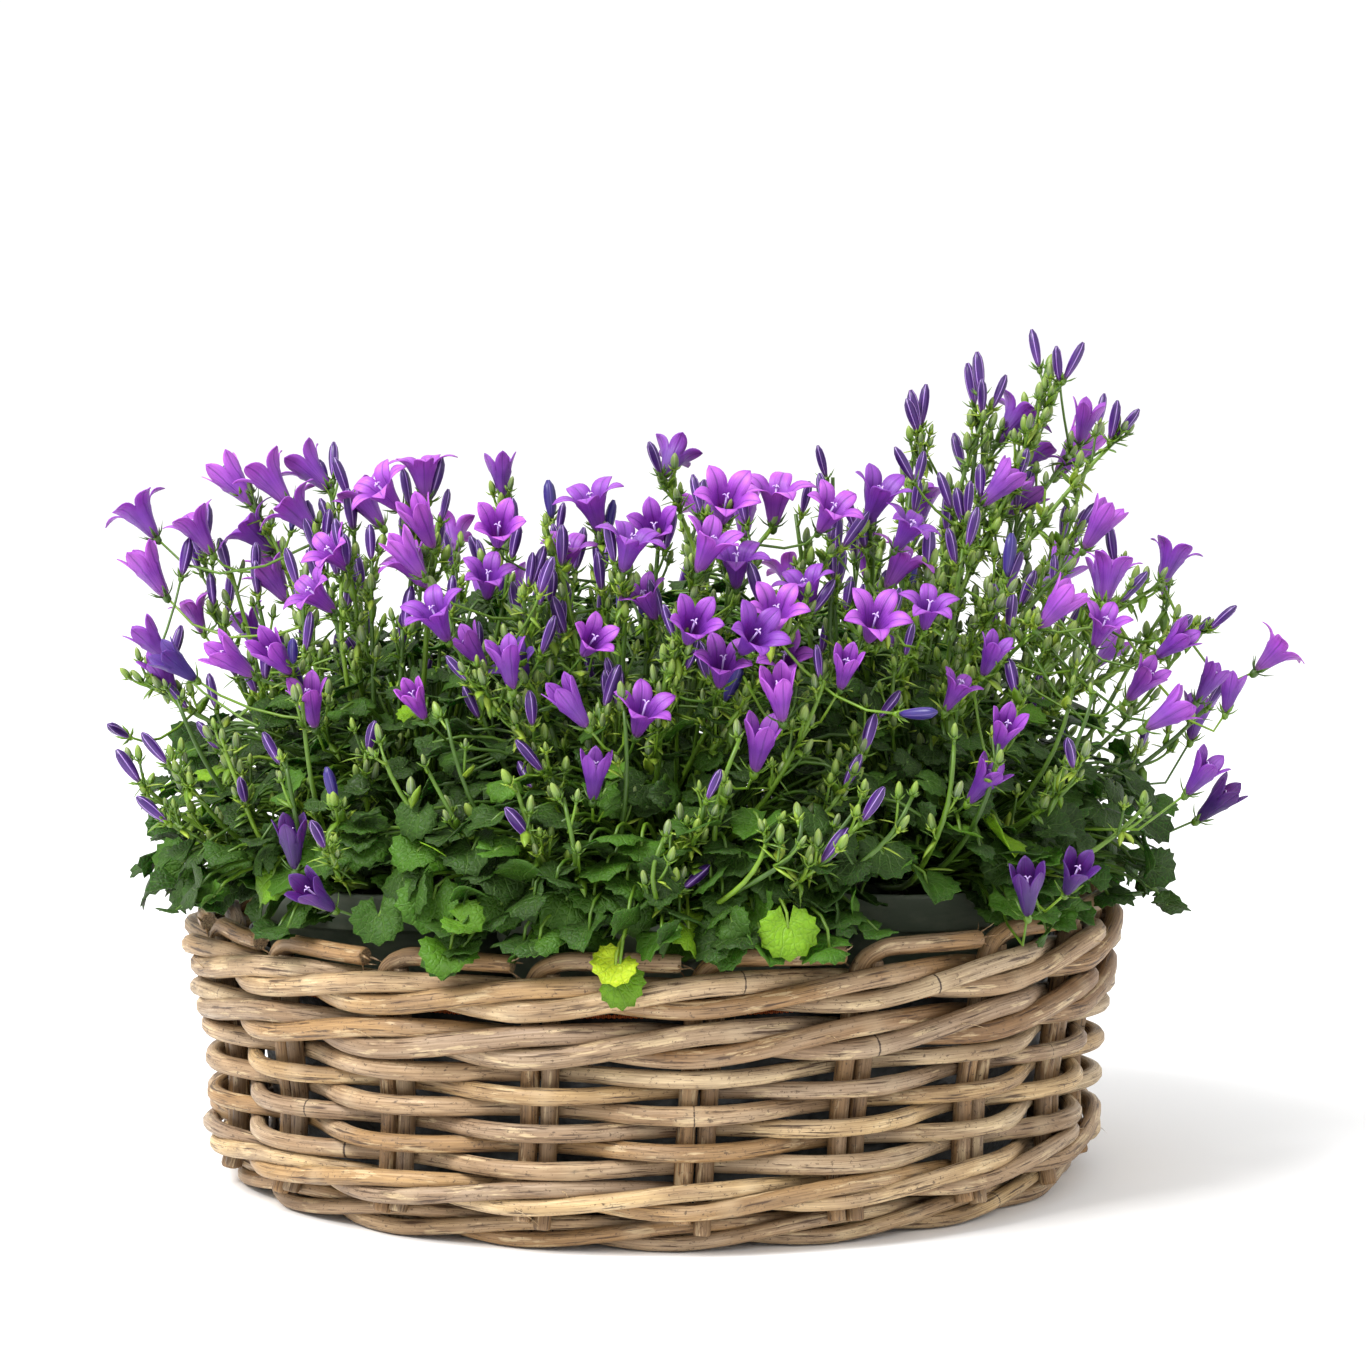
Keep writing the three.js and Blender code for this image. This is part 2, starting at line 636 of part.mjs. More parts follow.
// The flowering stems of one pot: a curved stem for each group, its blooms on stalks and a bud above.
// The passages are the same stems and stalks made thicker, which the foliage's heart leaves free.
function flowerSprays(centre, crown, blooms, buds, others) {
  const random = seededRandom(101 + Math.round(centre.x));
  const pieces = [crownSolid(crown)];
  const passages = [];
  const bells = [];
  const stems = [];
  for (const group of stemGroups(centre, blooms)) {
    const tip = group[0].clone();
    const root = crownRoot(crown, tip);
    const curve = stemCurve(root, tip);
    const line = curve.getPoints(3);
    const stem = rod(line, line.map(() => stemRadius), 3);
    if (!isClear(stem, others)) {
      continue;
    }
    pieces.push(stem);
    stems.push(curve);
    passages.push(rod(line, line.map(() => stemPassage), 3));
    group.forEach((place, rank) => {
      const direction = faceOutward(place, random);
      const spin = random() * lobeTurn;
      const size = 0.85 + 0.3 * random();
      const foot = settledFoot(place, direction, spin, size, [...others, ...bells]);
      const from = rank === 0 ? curve.getPoint(0.96) : nearestOnStem(curve, foot);
      const bell = stalkedBell(from, foot, direction, spin, size);
      if (isClear(bell, others)) {
        pieces.push(bell);
        passages.push(rod([from, foot], [stalkPassage, stalkPassage], 3));
        bells.push(bellAlone(foot, direction, spin, size));
      }
    });
    const from = curve.getPoint(0.55 + 0.4 * random());
    const lean = new THREE.Vector3(random() - 0.5, random() - 0.5, 0.8).normalize();
    const bud = stalkedBud(from, from.clone().addScaledVector(lean, sideBudReach));
    const point = from.clone().addScaledVector(lean, sideBudReach + budLength);
    if (stems.length % stemsPerBud === 0 && isClear(bud, others)) {
      pieces.push(bud);
      passages.push(rod([from, point], [budPassage, budPassage], 3));
    }
  }
  for (const foot of buds) {
    const bud = stalkedBud(nearestOf(stems.map((curve) => nearestOnStem(curve, foot)), foot), foot);
    if (isClear(bud, others)) {
      pieces.push(bud);
    }
  }
  return { solid: fuse(pieces), passages };
}

// A lumpy dome over all the pots: every corner is drawn in by its own share.
function heartDome() {
  const random = seededRandom(77);
  const rings = heartLevels.map((level) => Array.from({ length: heartColumns }, (unused, column) => {
    const turn = 2 * Math.PI * column / heartColumns;
    const reach = 1 - heartRoughness * random();
    return new THREE.Vector3(
      heartReach.x * Math.cos(level) * Math.cos(turn) * reach,
      heartReach.y * Math.cos(level) * Math.sin(turn) * reach,
      heartFloor + heartReach.z * Math.sin(level) * reach,
    );
  }));
  return solidOf(skin(rings, false));
}

// One pot's share of the round: a wedge that keeps clear of both its neighbours.
function potShare(index) {
  const half = Math.PI / potCount;
  const turn = 2 * index * half;
  const outward = (bearing, reach) => new THREE.Vector3(Math.sin(bearing), -Math.cos(bearing), 0)
    .multiplyScalar(reach);
  const apex = outward(turn, heartClearance / Math.sin(half));
  const beyond = 2 * domeReach.x;
  const corners = [apex, outward(turn - half, beyond).add(apex), outward(turn + half, beyond).add(apex)];
  const ring = (height) => corners.map((corner) => corner.clone().setZ(height));
  return solidOf(skin([ring(heartFloor - 1), ring(heartFloor + 2 * heartReach.z)], false));
}

function heartOf(index, dome, passages) {
  return dome.intersect(potShare(index)).subtract(passages);
}

// Where leaves stand: spread evenly over their dome, from its edge to its top.
const evenStepUp = 0.7549;
const evenStepRound = 0.5698;
function leafPlaces() {
  return Array.from({ length: leafCount }, (unused, index) => {
    const up = ((index + 0.5) * evenStepUp) % 1;
    const turn = 2 * Math.PI * (((index + 0.5) * evenStepRound) % 1);
    const level = Math.sqrt(1 - up * up);
    return new THREE.Vector3(level * Math.sin(turn), -level * Math.cos(turn), up)
      .multiply(leafDomeReach)
      .add(leafDomeCentre);
  });
}

// Where a leaf's stalk starts: the first place inside the heart on the way from the leaf to its pot.
function stalkRoot(end, centre) {
  const aim = centre.clone().multiplyScalar(rootAimShare).setZ(heartFloor + rootAimHeight);
  for (let share = 2 * rootStep; share < 1; share += rootStep) {
    const place = end.clone().lerp(aim, share);
    const level = new THREE.Vector3(place.x, place.y, place.z - heartFloor).divide(heartReach);
    if (place.z > heartFloor + rootClearance && level.length() < rootDepth) {
      return place;
    }
  }
  return aim;
}

// The foliage of one pot: its crown, its share of the heart and the leaves that stand out of it.
function foliageClump(index, crown, heart, leaves, others) {
  const centre = potCentre(index);
  const random = seededRandom(505 + Math.round(centre.x));
  const neck = [crown.clone().setZ(soilTop), crown.clone().setZ(heartFloor + neckReach)];
  const pieces = [crownSolid(crown), rod(neck, [neckRadius, neckRadius], 6), heart];
  for (const leafPlace of leaves) {
    const outward = leafPlace.clone().sub(centre).setZ(0).normalize();
    for (let attempt = 0; attempt < leafAttempts; attempt += 1) {
      const size = 0.85 + 0.3 * random();
      const rise = (leafPlace.z - leafDomeCentre.z) / leafDomeReach.z;
      const tilt = 0.7 * rise - 0.85 - 0.3 * random();
      const twist = (random() - 0.5) * (1 + attempt);
      const direction = outward.clone().applyAxisAngle(new THREE.Vector3(0, 0, 1), twist);
      direction.setZ(Math.tan(tilt)).normalize();
      const end = leafPlace.clone().addScaledVector(direction, -leafSetBack * leafRadius * size);
      const leaf = stalkedLeaf(stalkRoot(end, centre), end, direction, size);
      if (isClear(leaf, others)) {
        pieces.push(leaf);
        break;
      }
    }
  }
  return fuse(pieces);
}

const rattan = { color: 0xa88a6a, roughness: 0.62, metalness: 0 };
const stakeCane = { color: 0x8d6f52, roughness: 0.65, metalness: 0 };
const linerPlastic = { color: 0x2a2d2c, roughness: 0.5, metalness: 0 };
const potPlastic = { color: 0x464d41, roughness: 0.45, metalness: 0 };
const soilGround = { color: 0x2b2018, roughness: 0.95, metalness: 0 };
const leafGreen = { color: 0x3f7a2c, roughness: 0.55, metalness: 0 };
const petalViolet = { color: 0x8c46c8, roughness: 0.5, metalness: 0 };

const model = new THREE.Group();

function addPiece(parent, name, solid, finish) {
  const mesh = new THREE.Mesh(geometryOf(solid), new THREE.MeshStandardMaterial(finish));
  mesh.name = name;
  parent.add(mesh);
}

const basket = new THREE.Group();
model.add(basket);
for (const row of rows) {
  const strands = row.wale ? 3 : 1;
  for (let strand = 0; strand < strands; strand += 1) {
    const rank = row.wale ? strand : Number(row.name.slice(-1));
    const name = row.wale ? `${row.name}_strand_${strand + 1}` : row.name;
    addPiece(basket, name, strandSolid(row, rank), rattan);
  }
}
for (let index = 0; index < stakeCount; index += 1) {
  const number = String(index + 1).padStart(2, '0');
  addPiece(basket, `stake_pair_${number}`, stakePair(index), stakeCane);
}
addPiece(basket, 'basket_base', baseSolid(), rattan);
addPiece(basket, 'plastic_liner', linerSolid(), linerPlastic);

const pot = potSolid();
const soil = soilSolid();
const places = ['front', 'right', 'back_right', 'back_left', 'left'];
const potSolids = places.map((unused, index) => {
  const centre = potCentre(index);
  return pot.translate([centre.x, centre.y, 0]);
});
const guardFoot = wallRadius(guardHeight);
const guardTop = rimHeight + guardRise;
const rimGuard = turned([
  [guardFoot - guardInside, guardHeight], [guardFoot + guardOutside, guardHeight],
  [rimRadius + guardOutside, guardTop], [rimRadius - guardInside, guardTop],
  [guardFoot - guardInside, guardHeight],
], 36);

const blooms = bloomPlaces();
const buds = tallBuds.map(([across, height]) => domePoint(10 * across, 10 * height));
const crowns = places.map((unused, index) => {
  const centre = potCentre(index);
  return crownPlaces().map((place) => place.add(centre));
});
const standing = [...potSolids, rimGuard];
const sprays = [];
const passages = [];
for (let index = 0; index < potCount; index += 1) {
  const own = blooms.filter((place) => nearestPot(place) === index);
  const ownBuds = buds.filter((place) => nearestPot(place) === index);
  const spray = flowerSprays(potCentre(index), crowns[index][0], own, ownBuds, [...standing, ...sprays]);
  sprays.push(spray.solid);
  passages.push(...spray.passages);
}
const dome = heartDome();
const passage = wasm.Manifold.union(passages);
const hearts = places.map((unused, index) => heartOf(index, dome, passage));
const leaves = leafPlaces();
const clumps = [];
for (let index = 0; index < potCount; index += 1) {
  const own = leaves.filter((place) => nearestPot(place) === index);
  const others = [...standing, ...sprays, ...clumps, ...hearts.slice(index + 1)];
  clumps.push(foliageClump(index, crowns[index][1], hearts[index], own, others));
}
places.forEach((place, index) => {
  const centre = potCentre(index);
  addPiece(model, `pot_${place}`, potSolids[index], potPlastic);
  addPiece(model, `soil_${place}`, soil.translate([centre.x, centre.y, 0]), soilGround);
  addPiece(model, `foliage_${place}`, clumps[index], leafGreen);
  addPiece(model, `flowers_${place}`, sprays[index], petalViolet);
});

export default model;
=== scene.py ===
"""Dalmatian bellflowers in five nursery pots, in a round rattan basket: the looks round the fixed frame.

Shapes are worked out in millimetres, +Z up, with the front towards -Y, and become metres in the meshes.
"""
import math

import bpy
import numpy as np
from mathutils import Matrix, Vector


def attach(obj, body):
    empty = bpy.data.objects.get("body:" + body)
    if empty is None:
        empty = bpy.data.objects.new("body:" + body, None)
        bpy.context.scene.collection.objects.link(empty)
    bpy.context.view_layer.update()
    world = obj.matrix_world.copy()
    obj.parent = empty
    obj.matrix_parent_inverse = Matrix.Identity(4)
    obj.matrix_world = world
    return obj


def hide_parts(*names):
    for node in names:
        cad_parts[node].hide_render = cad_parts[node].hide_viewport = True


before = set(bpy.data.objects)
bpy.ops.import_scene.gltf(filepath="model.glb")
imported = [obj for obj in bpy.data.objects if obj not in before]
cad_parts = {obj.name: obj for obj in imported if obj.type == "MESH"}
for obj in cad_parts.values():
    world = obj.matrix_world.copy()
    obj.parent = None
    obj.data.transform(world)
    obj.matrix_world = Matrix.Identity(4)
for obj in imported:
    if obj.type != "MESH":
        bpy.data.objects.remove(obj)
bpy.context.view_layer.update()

MM = 0.001
TAU = 2 * math.pi
GOLDEN_TURN = math.pi * (3 - math.sqrt(5))
UP = np.array([0.0, 0.0, 1.0])
BODY = "root"

# Basket wall, as the frame holds it
STAKES = 18
SPACING = TAU / STAKES
FIRST_STAKE = math.radians(5)
LEAN_PER_MM = 0.00033
STAKE_WIDTH = 7.5
STAKE_HALF_DEPTH = 3.5
PAIR_OFFSET = 3.9
BASE_RADIUS = 151.3
FOOT_RADIUS = 161.3
WAIST_RADIUS = 170
RIM_RADIUS = 178
WAIST_HEIGHT = 50
RIM_HEIGHT = 108
RIM_LIFT = (0.955, 0.035, 0.03)
GAP = 0.3
CROSSING_GAP = 0.9
WALES = {
    "foot_wale": (6.8, 5.6), "bottom_wale": (6.6, 7.2), "lower_top_wale": (8.6, 8),
    "upper_top_wale": (8.6, 8),
}
SIDE_ROW = (7, 7.4)
SIDE_ROWS = [f"side_row_{number}" for number in range(1, 7)]
ROW_ORDER = ["foot_wale", "bottom_wale", *SIDE_ROWS, "lower_top_wale", "upper_top_wale"]

# Canes
CANE_SIDES = 10
CANE_PARTS = 3
PART_STAKES = 6
PART_STATIONS = 112
NODE_DISTANCE = (80, 170)
FIBRE_TAPER = np.array([1.0, 1.0, 0.9, 0.7, 0.5, 0.15])
FRAYED_FIBRES = 6
FLAT_END_CORNERS = 9

# Liner, pots and soil
BASE_THICKNESS = 9
LINER_FLOOR = BASE_THICKNESS + GAP
LINER_FLOOR_TOP = LINER_FLOOR + 1.2
LINER_CLEARANCE = STAKE_HALF_DEPTH + 8 + GAP + 2.2
LINER_WAIST = WAIST_RADIUS - LINER_CLEARANCE
LINER_RIM = RIM_RADIUS - LINER_CLEARANCE - 1
LINER_TOP = RIM_HEIGHT * (RIM_LIFT[0] - math.hypot(*RIM_LIFT[1:]))
STITCH_HEIGHT = 89.9
STITCHES = 500
THREAD_SIDES = 5
POT_FLOOR = LINER_FLOOR_TOP + GAP
POT_TOP = POT_FLOOR + 113
POT_RING = 103.6
SOIL_TOP = POT_TOP - 9
PLACES = ["front", "right", "back_right", "back_left", "left"]

# Crowns and the dome of flowers
CROWN_RADIUS = 7
CROWN_ABOVE = 8
CROWN_ASIDE = np.array([10.0, 0.0, 0.0])
DOME_CENTRE = np.array([10.0, 0.0, 120.0])
DOME_REACH = np.array([240.0, 210.0, 185.0])
BLOOM_LENGTH = 24
BLOOM_RADIUS = 13.5
BLOOM_CLEARANCE = 19
BLOOMS_PER_STEM = 4
BACK_BLOOMS = 20
STEM_STATIONS = 24
TUBE_ROWS = 7
LOBE_ROWS = 7
LOBE_COLUMNS = 5
BUD_LENGTH = 16
BUD_RADIUS = 2.15
BUD_ROWS = 8
BUD_COLUMNS = 10
BACK_STEMS = 46
BARE_STEMS = 22

# Leaves: the dome's middle and reach, its shells, and each leaf's least and most fold, cup, wave and phase
LEAF_RADIUS = 13.5
LEAF_COLUMNS = 25
LEAF_RINGS = np.array([0.55, 1.0])
LEAF_CENTRE = np.array([0.0, 0.0, 112.0])
LEAF_AIM = np.array([0.0, 0.0, 95.0])
LEAF_REACH = np.array([206.0, 190.0, 118.0])
LEAF_SHELLS = [(1.0, 760), (0.9, 600), (0.78, 340), (0.62, 150)]
LEAF_FORM = [(0.05, 0.55), (-0.08, 0.36), (0.04, 0.2), (0, TAU)]
RIM_REACH = 196
FRINGE_LEAVES = 44

# Blooms that show in front: the place across and the height of each one's foot, in centimetres
FRONT_BLOOMS = [
    [-20, 25.4], [-16.7, 25.9], [-16.1, 26.7], [-14.6, 26.8], [-13.1, 27.2], [-13.3, 25.9], [-17.7, 24.8],
    [-16.6, 24.3], [-19.6, 23.1], [-19.2, 22.1], [-12.2, 23.4], [-15.2, 21.1], [-17.7, 20.6], [-13.7, 21.3],
    [-19.1, 20.9], [-20.2, 19.8], [-9.8, 27.1], [-13.6, 19.7], [-11.7, 24.9], [-8.8, 27.5], [-8.6, 25],
    [-9.7, 25.4], [-8.4, 25.8], [-7.2, 25.7], [-5.8, 26.1], [-3.9, 26.7], [-1.9, 26.6], [-1, 25.4],
    [-7.6, 22.8], [-6.5, 21.9], [-5.5, 22.3], [-2.5, 22.3], [-8.5, 19.8], [-2.3, 20.1], [-5.1, 21.2],
    [0.3, 26.1], [1.8, 25.4], [2.7, 27], [4.7, 26.7], [3.4, 25.5], [1.4, 22.9], [0.2, 23.5], [2.6, 21.2],
    [-0.5, 19.4], [-2.1, 17.2], [3.4, 22.6], [4.6, 23.1], [6.1, 23.7], [5.4, 22.4], [7.1, 21.2], [4.9, 20.2],
    [4, 18.4], [8.2, 22.8], [9.3, 26], [9.3, 24.8], [8.3, 26.9], [6.4, 26.7], [14, 29.1], [15.5, 29.1],
    [17.3, 29.1], [15.4, 27.6], [16.5, 27.7], [17.1, 25.3], [12.9, 27.2], [20.5, 23.6], [17.1, 22],
    [19.7, 21.4], [14.8, 22.9], [12.6, 21.3], [11.8, 20.6], [10.3, 23.2], [19.6, 20.2], [24.4, 20],
    [22.9, 18.6], [21.4, 19.5], [18.9, 19.1], [17.6, 23.6], [13, 18.6], [12, 16.7], [20.5, 16.6],
    [14.5, 12.7], [15.6, 13.4], [-13.4, 14.1], [-11.8, 13],
]

# Feet of the buds that stand up highest, and tips of the ripe buds that show in front, in centimetres
TALL_BUDS = [
    [16.3, 31.7], [13.2, 30.4], [10.7, 29.6], [18.6, 29.5], [10.2, 28.2], [-18.9, 23.9], [-4.1, 24.6],
    [9.2, 20.4], [20.4, 22.1], [-20.4, 18.2],
]
FRONT_BUDS = [
    [16.1, 33.2], [13.2, 31.9], [10.7, 31.1], [18.2, 30.9], [-8.3, 27.8], [-11.9, 28.2], [-18.6, 25.9],
    [-10.8, 26.4], [-14, 25.5], [-13.6, 25.2], [-12.1, 25.6], [-16, 25], [-7.7, 24.8], [-9.6, 23.8],
    [-5.5, 26.4], [-4.8, 25.8], [-4.8, 24.2], [-17.7, 23.8], [-17, 25.1], [-18.3, 18.8], [-16.5, 19.1],
    [-14, 18.8], [-10.8, 19.6], [-15.6, 17.3], [-11.7, 17.8], [-12, 16.5], [-19.7, 17.9], [-18.4, 16.4],
    [-4.2, 18.3], [-4.2, 17], [-3.8, 27.9], [-2.1, 26.1], [-3.4, 26.4], [-1.2, 24.5], [-3.9, 25.1],
    [6.8, 28.3], [7.2, 29.2], [5.6, 28.2], [7, 25.8], [4.4, 25.3], [8.6, 27.8], [10.3, 28.9],
    [-1.9, 21.4], [-1.2, 21.3], [6.5, 22.7], [8.4, 20.9], [8, 19.7], [7.2, 18.6], [7.8, 17.7],
    [6.2, 16.1], [2, 18.6], [0.9, 15.2], [-3.7, 19.2], [9.4, 23.4], [14.2, 21.4], [16.2, 19],
    [21, 24], [21.8, 22], [22.4, 19.6], [18.9, 25.5], [14.9, 28], [12.1, 26.8],
]

# Tips of the racemes that are crowded with young buds, in centimetres
RACEMES = [
    [16.3, 33], [13.4, 31.8], [10.9, 30.9], [18.6, 30.6], [14.6, 28.9], [12.4, 27.6], [10.6, 26.2],
    [16.9, 26.9], [9, 24.4], [13.6, 25.4], [18.4, 24.4], [7.2, 27.2], [-6.5, 22.6], [1.2, 24.2],
    [5.8, 25], [22.4, 23],
]

# Leaves that hang over the rim in front, each as its place across, its height in centimetres and its youth
RIM_LEAVES = [
    [-8.1, 11.2, 0.62], [-1.6, 11, 0.95], [-0.9, 10.3, 0.72], [0.7, 12.1, 0.3], [4.7, 11.6, 0.55],
    [5.6, 12, 0.8], [-5.4, 13.6, 0.2], [-2.6, 12.9, 0.3], [10.2, 14.5, 0.25], [-14.3, 14.4, 0.6],
    [-16.4, 13.2, 0.5], [-19.2, 13.4, 0.45], [-21, 14.6, 0.4], [-22, 17.2, 0.3], [16.6, 14.8, 0.85],
    [20, 15.4, 0.3], [-10, 13.2, 0.35], [2.4, 12.8, 0.4], [7.6, 13.4, 0.3], [-4, 12.2, 0.45],
    [-7, 12.8, 0.3], [12.6, 13.4, 0.4], [6.6, 11.9, 0.5], [-17.6, 12.9, 0.7], [-12.4, 14.8, 0.4],
]


# Points, faces and pieces

def linked(name, data):
    """A new object of the scene that holds the data."""
    made = bpy.data.objects.new(name, data)
    bpy.context.scene.collection.objects.link(made)
    return made


class Skin:
    """Points, faces and marks of one piece, gathered part by part."""

    def __init__(self):
        self.points = []
        self.faces = []
        self.marks = {}
        self.count = 0

    def add(self, points, faces, **marks):
        """Adds points of any grid shape, their faces as arrays of point numbers, and marks.

        A mark is one value for all points, one for each copy of a shape, or a value or vector for each point.
        """
        flat = np.asarray(points, float).reshape(-1, 3)
        self.points.append(flat)
        self.faces.extend(np.asarray(group, np.int64) + self.count for group in faces)
        for name, value in marks.items():
            value = np.asarray(value, float)
            vectors = value.size == flat.size
            value = value.reshape(-1, 3) if vectors else np.repeat(value.ravel(), len(flat) // value.size)
            self.marks.setdefault(name, []).append(value)
        self.count += len(flat)

    def piece(self, name, finish, nodes=(), thickness=0.0):
        """Turns the gathered parts into one object that rides on the basket and stands for its nodes."""
        mesh = bpy.data.meshes.new(name)
        faces = [row for group in self.faces for row in group.tolist()]
        mesh.from_pydata(np.concatenate(self.points) * MM, [], faces)
        corners = np.empty(len(mesh.polygons), np.int32)
        mesh.polygons.foreach_get("loop_total", corners)
        mesh.polygons.foreach_set("use_smooth", corners < FLAT_END_CORNERS)
        for mark, values in self.marks.items():
            values = np.concatenate(values).astype(np.float32)
            kind, field = ("FLOAT_VECTOR", "vector") if values.ndim == 2 else ("FLOAT", "value")
            mesh.attributes.new(mark, kind, "POINT").data.foreach_set(field, values.ravel())
        mesh.materials.append(finish)
        made = linked(name, mesh)
        if thickness:
            shell = made.modifiers.new("thickness", "SOLIDIFY")
            shell.thickness = thickness * MM
            shell.offset = 0
        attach(made, BODY)
        if nodes:
            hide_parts(*nodes)


def joined(*parts):
    """Coordinates that were worked out one by one, put together as points."""
    return np.stack(np.broadcast_arrays(*parts), -1)


def grid_faces(copies, rows, columns, loop):
    """Quads between neighbouring points of grids numbered copy by copy and row by row."""
    start = np.arange(copies)[:, None, None] * rows * columns
    row = np.arange(rows - 1)[None, :, None] * columns
    column = np.arange(columns if loop else columns - 1)[None, None, :]
    beside = (column + 1) % columns
    low = start + row
    high = low + columns
    return np.stack([low + column, low + beside, high + beside, high + column], -1).reshape(-1, 4)


def tube_faces(copies, rows, columns):
    """The sides of closed tubes, and the faces that close the first and the last ring of each."""
    ring = np.arange(copies)[:, None] * rows * columns + np.arange(columns)[None, :]
    return [grid_faces(copies, rows, columns, True), ring[:, ::-1], ring + (rows - 1) * columns]


def copied(groups, count, each):
    """The faces of one shape, repeated for its copies of so many points each."""
    offset = (np.arange(count) * each)[:, None, None]
    return [(group[None] + offset).reshape(-1, group.shape[-1]) for group in groups]


def unit(vectors):
    return vectors / np.maximum(np.linalg.norm(vectors, axis=-1, keepdims=True), 1e-9)


def rings_along(path, radii, sides, reference, flatness=1.0):
    """Rings round a path: at each point a circle of the given radius in the plane across the path.

    The circle's first axis is the reference crossed with the path's direction, and its second axis,
    which flatness can shorten, is the direction crossed with the first.
    """
    ahead = unit(np.gradient(path, axis=-2))
    across = unit(np.cross(reference, ahead))
    upward = np.cross(ahead, across)
    angle = (TAU * np.arange(sides) / sides)[:, None]
    ring = across[..., None, :] * np.cos(angle) + upward[..., None, :] * (flatness * np.sin(angle))
    return path[..., None, :] + np.asarray(radii)[..., None, None] * ring


def rods(skin, path, radii, sides, reference, flatness=1.0, **marks):
    """Closed rods, one along each of the paths."""
    copies, rows = path.shape[:2]
    points = rings_along(path, np.broadcast_to(radii, (copies, rows)), sides, reference, flatness)
    skin.add(points, tube_faces(copies, rows, sides), **marks)


def turned(profile, columns, ripple=None, centre=0.0):
    """Points and faces of a turned skin: each (radius, height) of the profile carried round the centre.

    The profile starts and ends at a small ring that a face closes, and a ripple may move its points.
    """
    profile = np.asarray(profile, float)
    angle = TAU * np.arange(columns) / columns
    radius = np.maximum(profile[:, 0], 0.4)[:, None] * np.ones(columns)
    height = profile[:, 1][:, None] * np.ones(columns)
    if ripple:
        radius, height = ripple(radius, height, angle)
    points = joined(radius * np.cos(angle), radius * np.sin(angle), height)
    return points + centre, tube_faces(1, len(profile), columns)


def turned_piece(name, finish, slot, node, shape, **marks):
    skin = Skin()
    skin.add(*shape, **marks)
    skin.piece(name, finish, [node])


def smooth(share):
    """A slow start and a slow end between 0 and 1."""
    share = np.clip(share, 0, 1)
    return share * share * (3 - 2 * share)


def waver(place, random, waves, size):
    """A gentle wander along a path: the sum of three sine waves with drawn phases."""
    phase = random.uniform(0, TAU, 3)
    return size * sum(np.sin(place * rate + shift) for rate, shift in zip(waves, phase)) / 2


# Procedural finishes

def paint(red, green, blue):
    """A colour as seen on a screen, 0 to 255, as the light it sends back."""
    seen = np.array([red, green, blue]) / 255
    light = np.where(seen <= 0.04045, seen / 12.92, ((seen + 0.055) / 1.055) ** 2.4)
    return (*[float(x) for x in light], 1.0)


class Finish:
    """One procedural material, built by adding nodes that feed each other."""

    def __init__(self, name, **fixed):
        self.material = bpy.data.materials.new(name)
        self.material.use_nodes = True
        self.nodes = self.material.node_tree.nodes
        self.links = self.material.node_tree.links
        self.shader = self.nodes["Principled BSDF"]
        for socket, value in fixed.items():
            self.shader.inputs[socket.replace("_", " ")].default_value = value

    def feed(self, socket, value):
        if isinstance(value, bpy.types.NodeSocket):
            self.links.new(value, socket)
        else:
            socket.default_value = value

    def node(self, kind, feeds, output=0, **settings):
        made = self.nodes.new(kind)
        for name, value in settings.items():
            setattr(made, name, value)
        for name, value in feeds.items():
            self.feed(made.inputs[name], value)
        return made.outputs[output]

    def mark(self, name, output="Fac"):
        return self.node("ShaderNodeAttribute", {}, output, attribute_name=name)

    def place(self):
        return self.node("ShaderNodeTexCoord", {}, "Object")

    def math(self, operation, first, second=0.0, clamp=False):
        return self.node("ShaderNodeMath", {0: first, 1: second}, operation=operation, use_clamp=clamp)

    def scaled(self, vector, by):
        return self.node("ShaderNodeVectorMath", {0: vector, 1: by}, operation="MULTIPLY")

    def noise(self, vector, scale, detail=2.0, rough=0.5):
        feeds = {"Vector": vector, "Scale": scale, "Detail": detail, "Roughness": rough}
        return self.node("ShaderNodeTexNoise", feeds)

    def ramp(self, value, *stops):
        """Grey or colour by value, through the stops given as (place, colour or grey)."""
        made = self.nodes.new("ShaderNodeValToRGB")
        points = made.color_ramp.elements
        while len(points) < len(stops):
            points.new(0.5)
        for point, (place, colour) in zip(points, stops):
            point.position = place
            point.color = colour if isinstance(colour, tuple) else (colour, colour, colour, 1)
        self.feed(made.inputs[0], value)
        return made.outputs[0]

    def mix(self, share, first, second, blend="MIX"):
        made = self.nodes.new("ShaderNodeMix")
        made.data_type = "RGBA"
        made.blend_type = blend
        for socket, value in ((0, share), (6, first), (7, second)):
            self.feed(made.inputs[socket], value)
        return made.outputs[2]

    def times(self, first, second):
        return self.mix(1.0, first, second, "MULTIPLY")

    def bump(self, height, distance, strength=1.0):
        made = self.node("ShaderNodeBump", {"Height": height, "Distance": distance, "Strength": strength})
        self.links.new(made, self.shader.inputs["Normal"])

    def done(self, colour, roughness=None):
        self.feed(self.shader.inputs["Base Color"], colour)
        if roughness is not None:
            self.feed(self.shader.inputs["Roughness"], roughness)
        return self.material


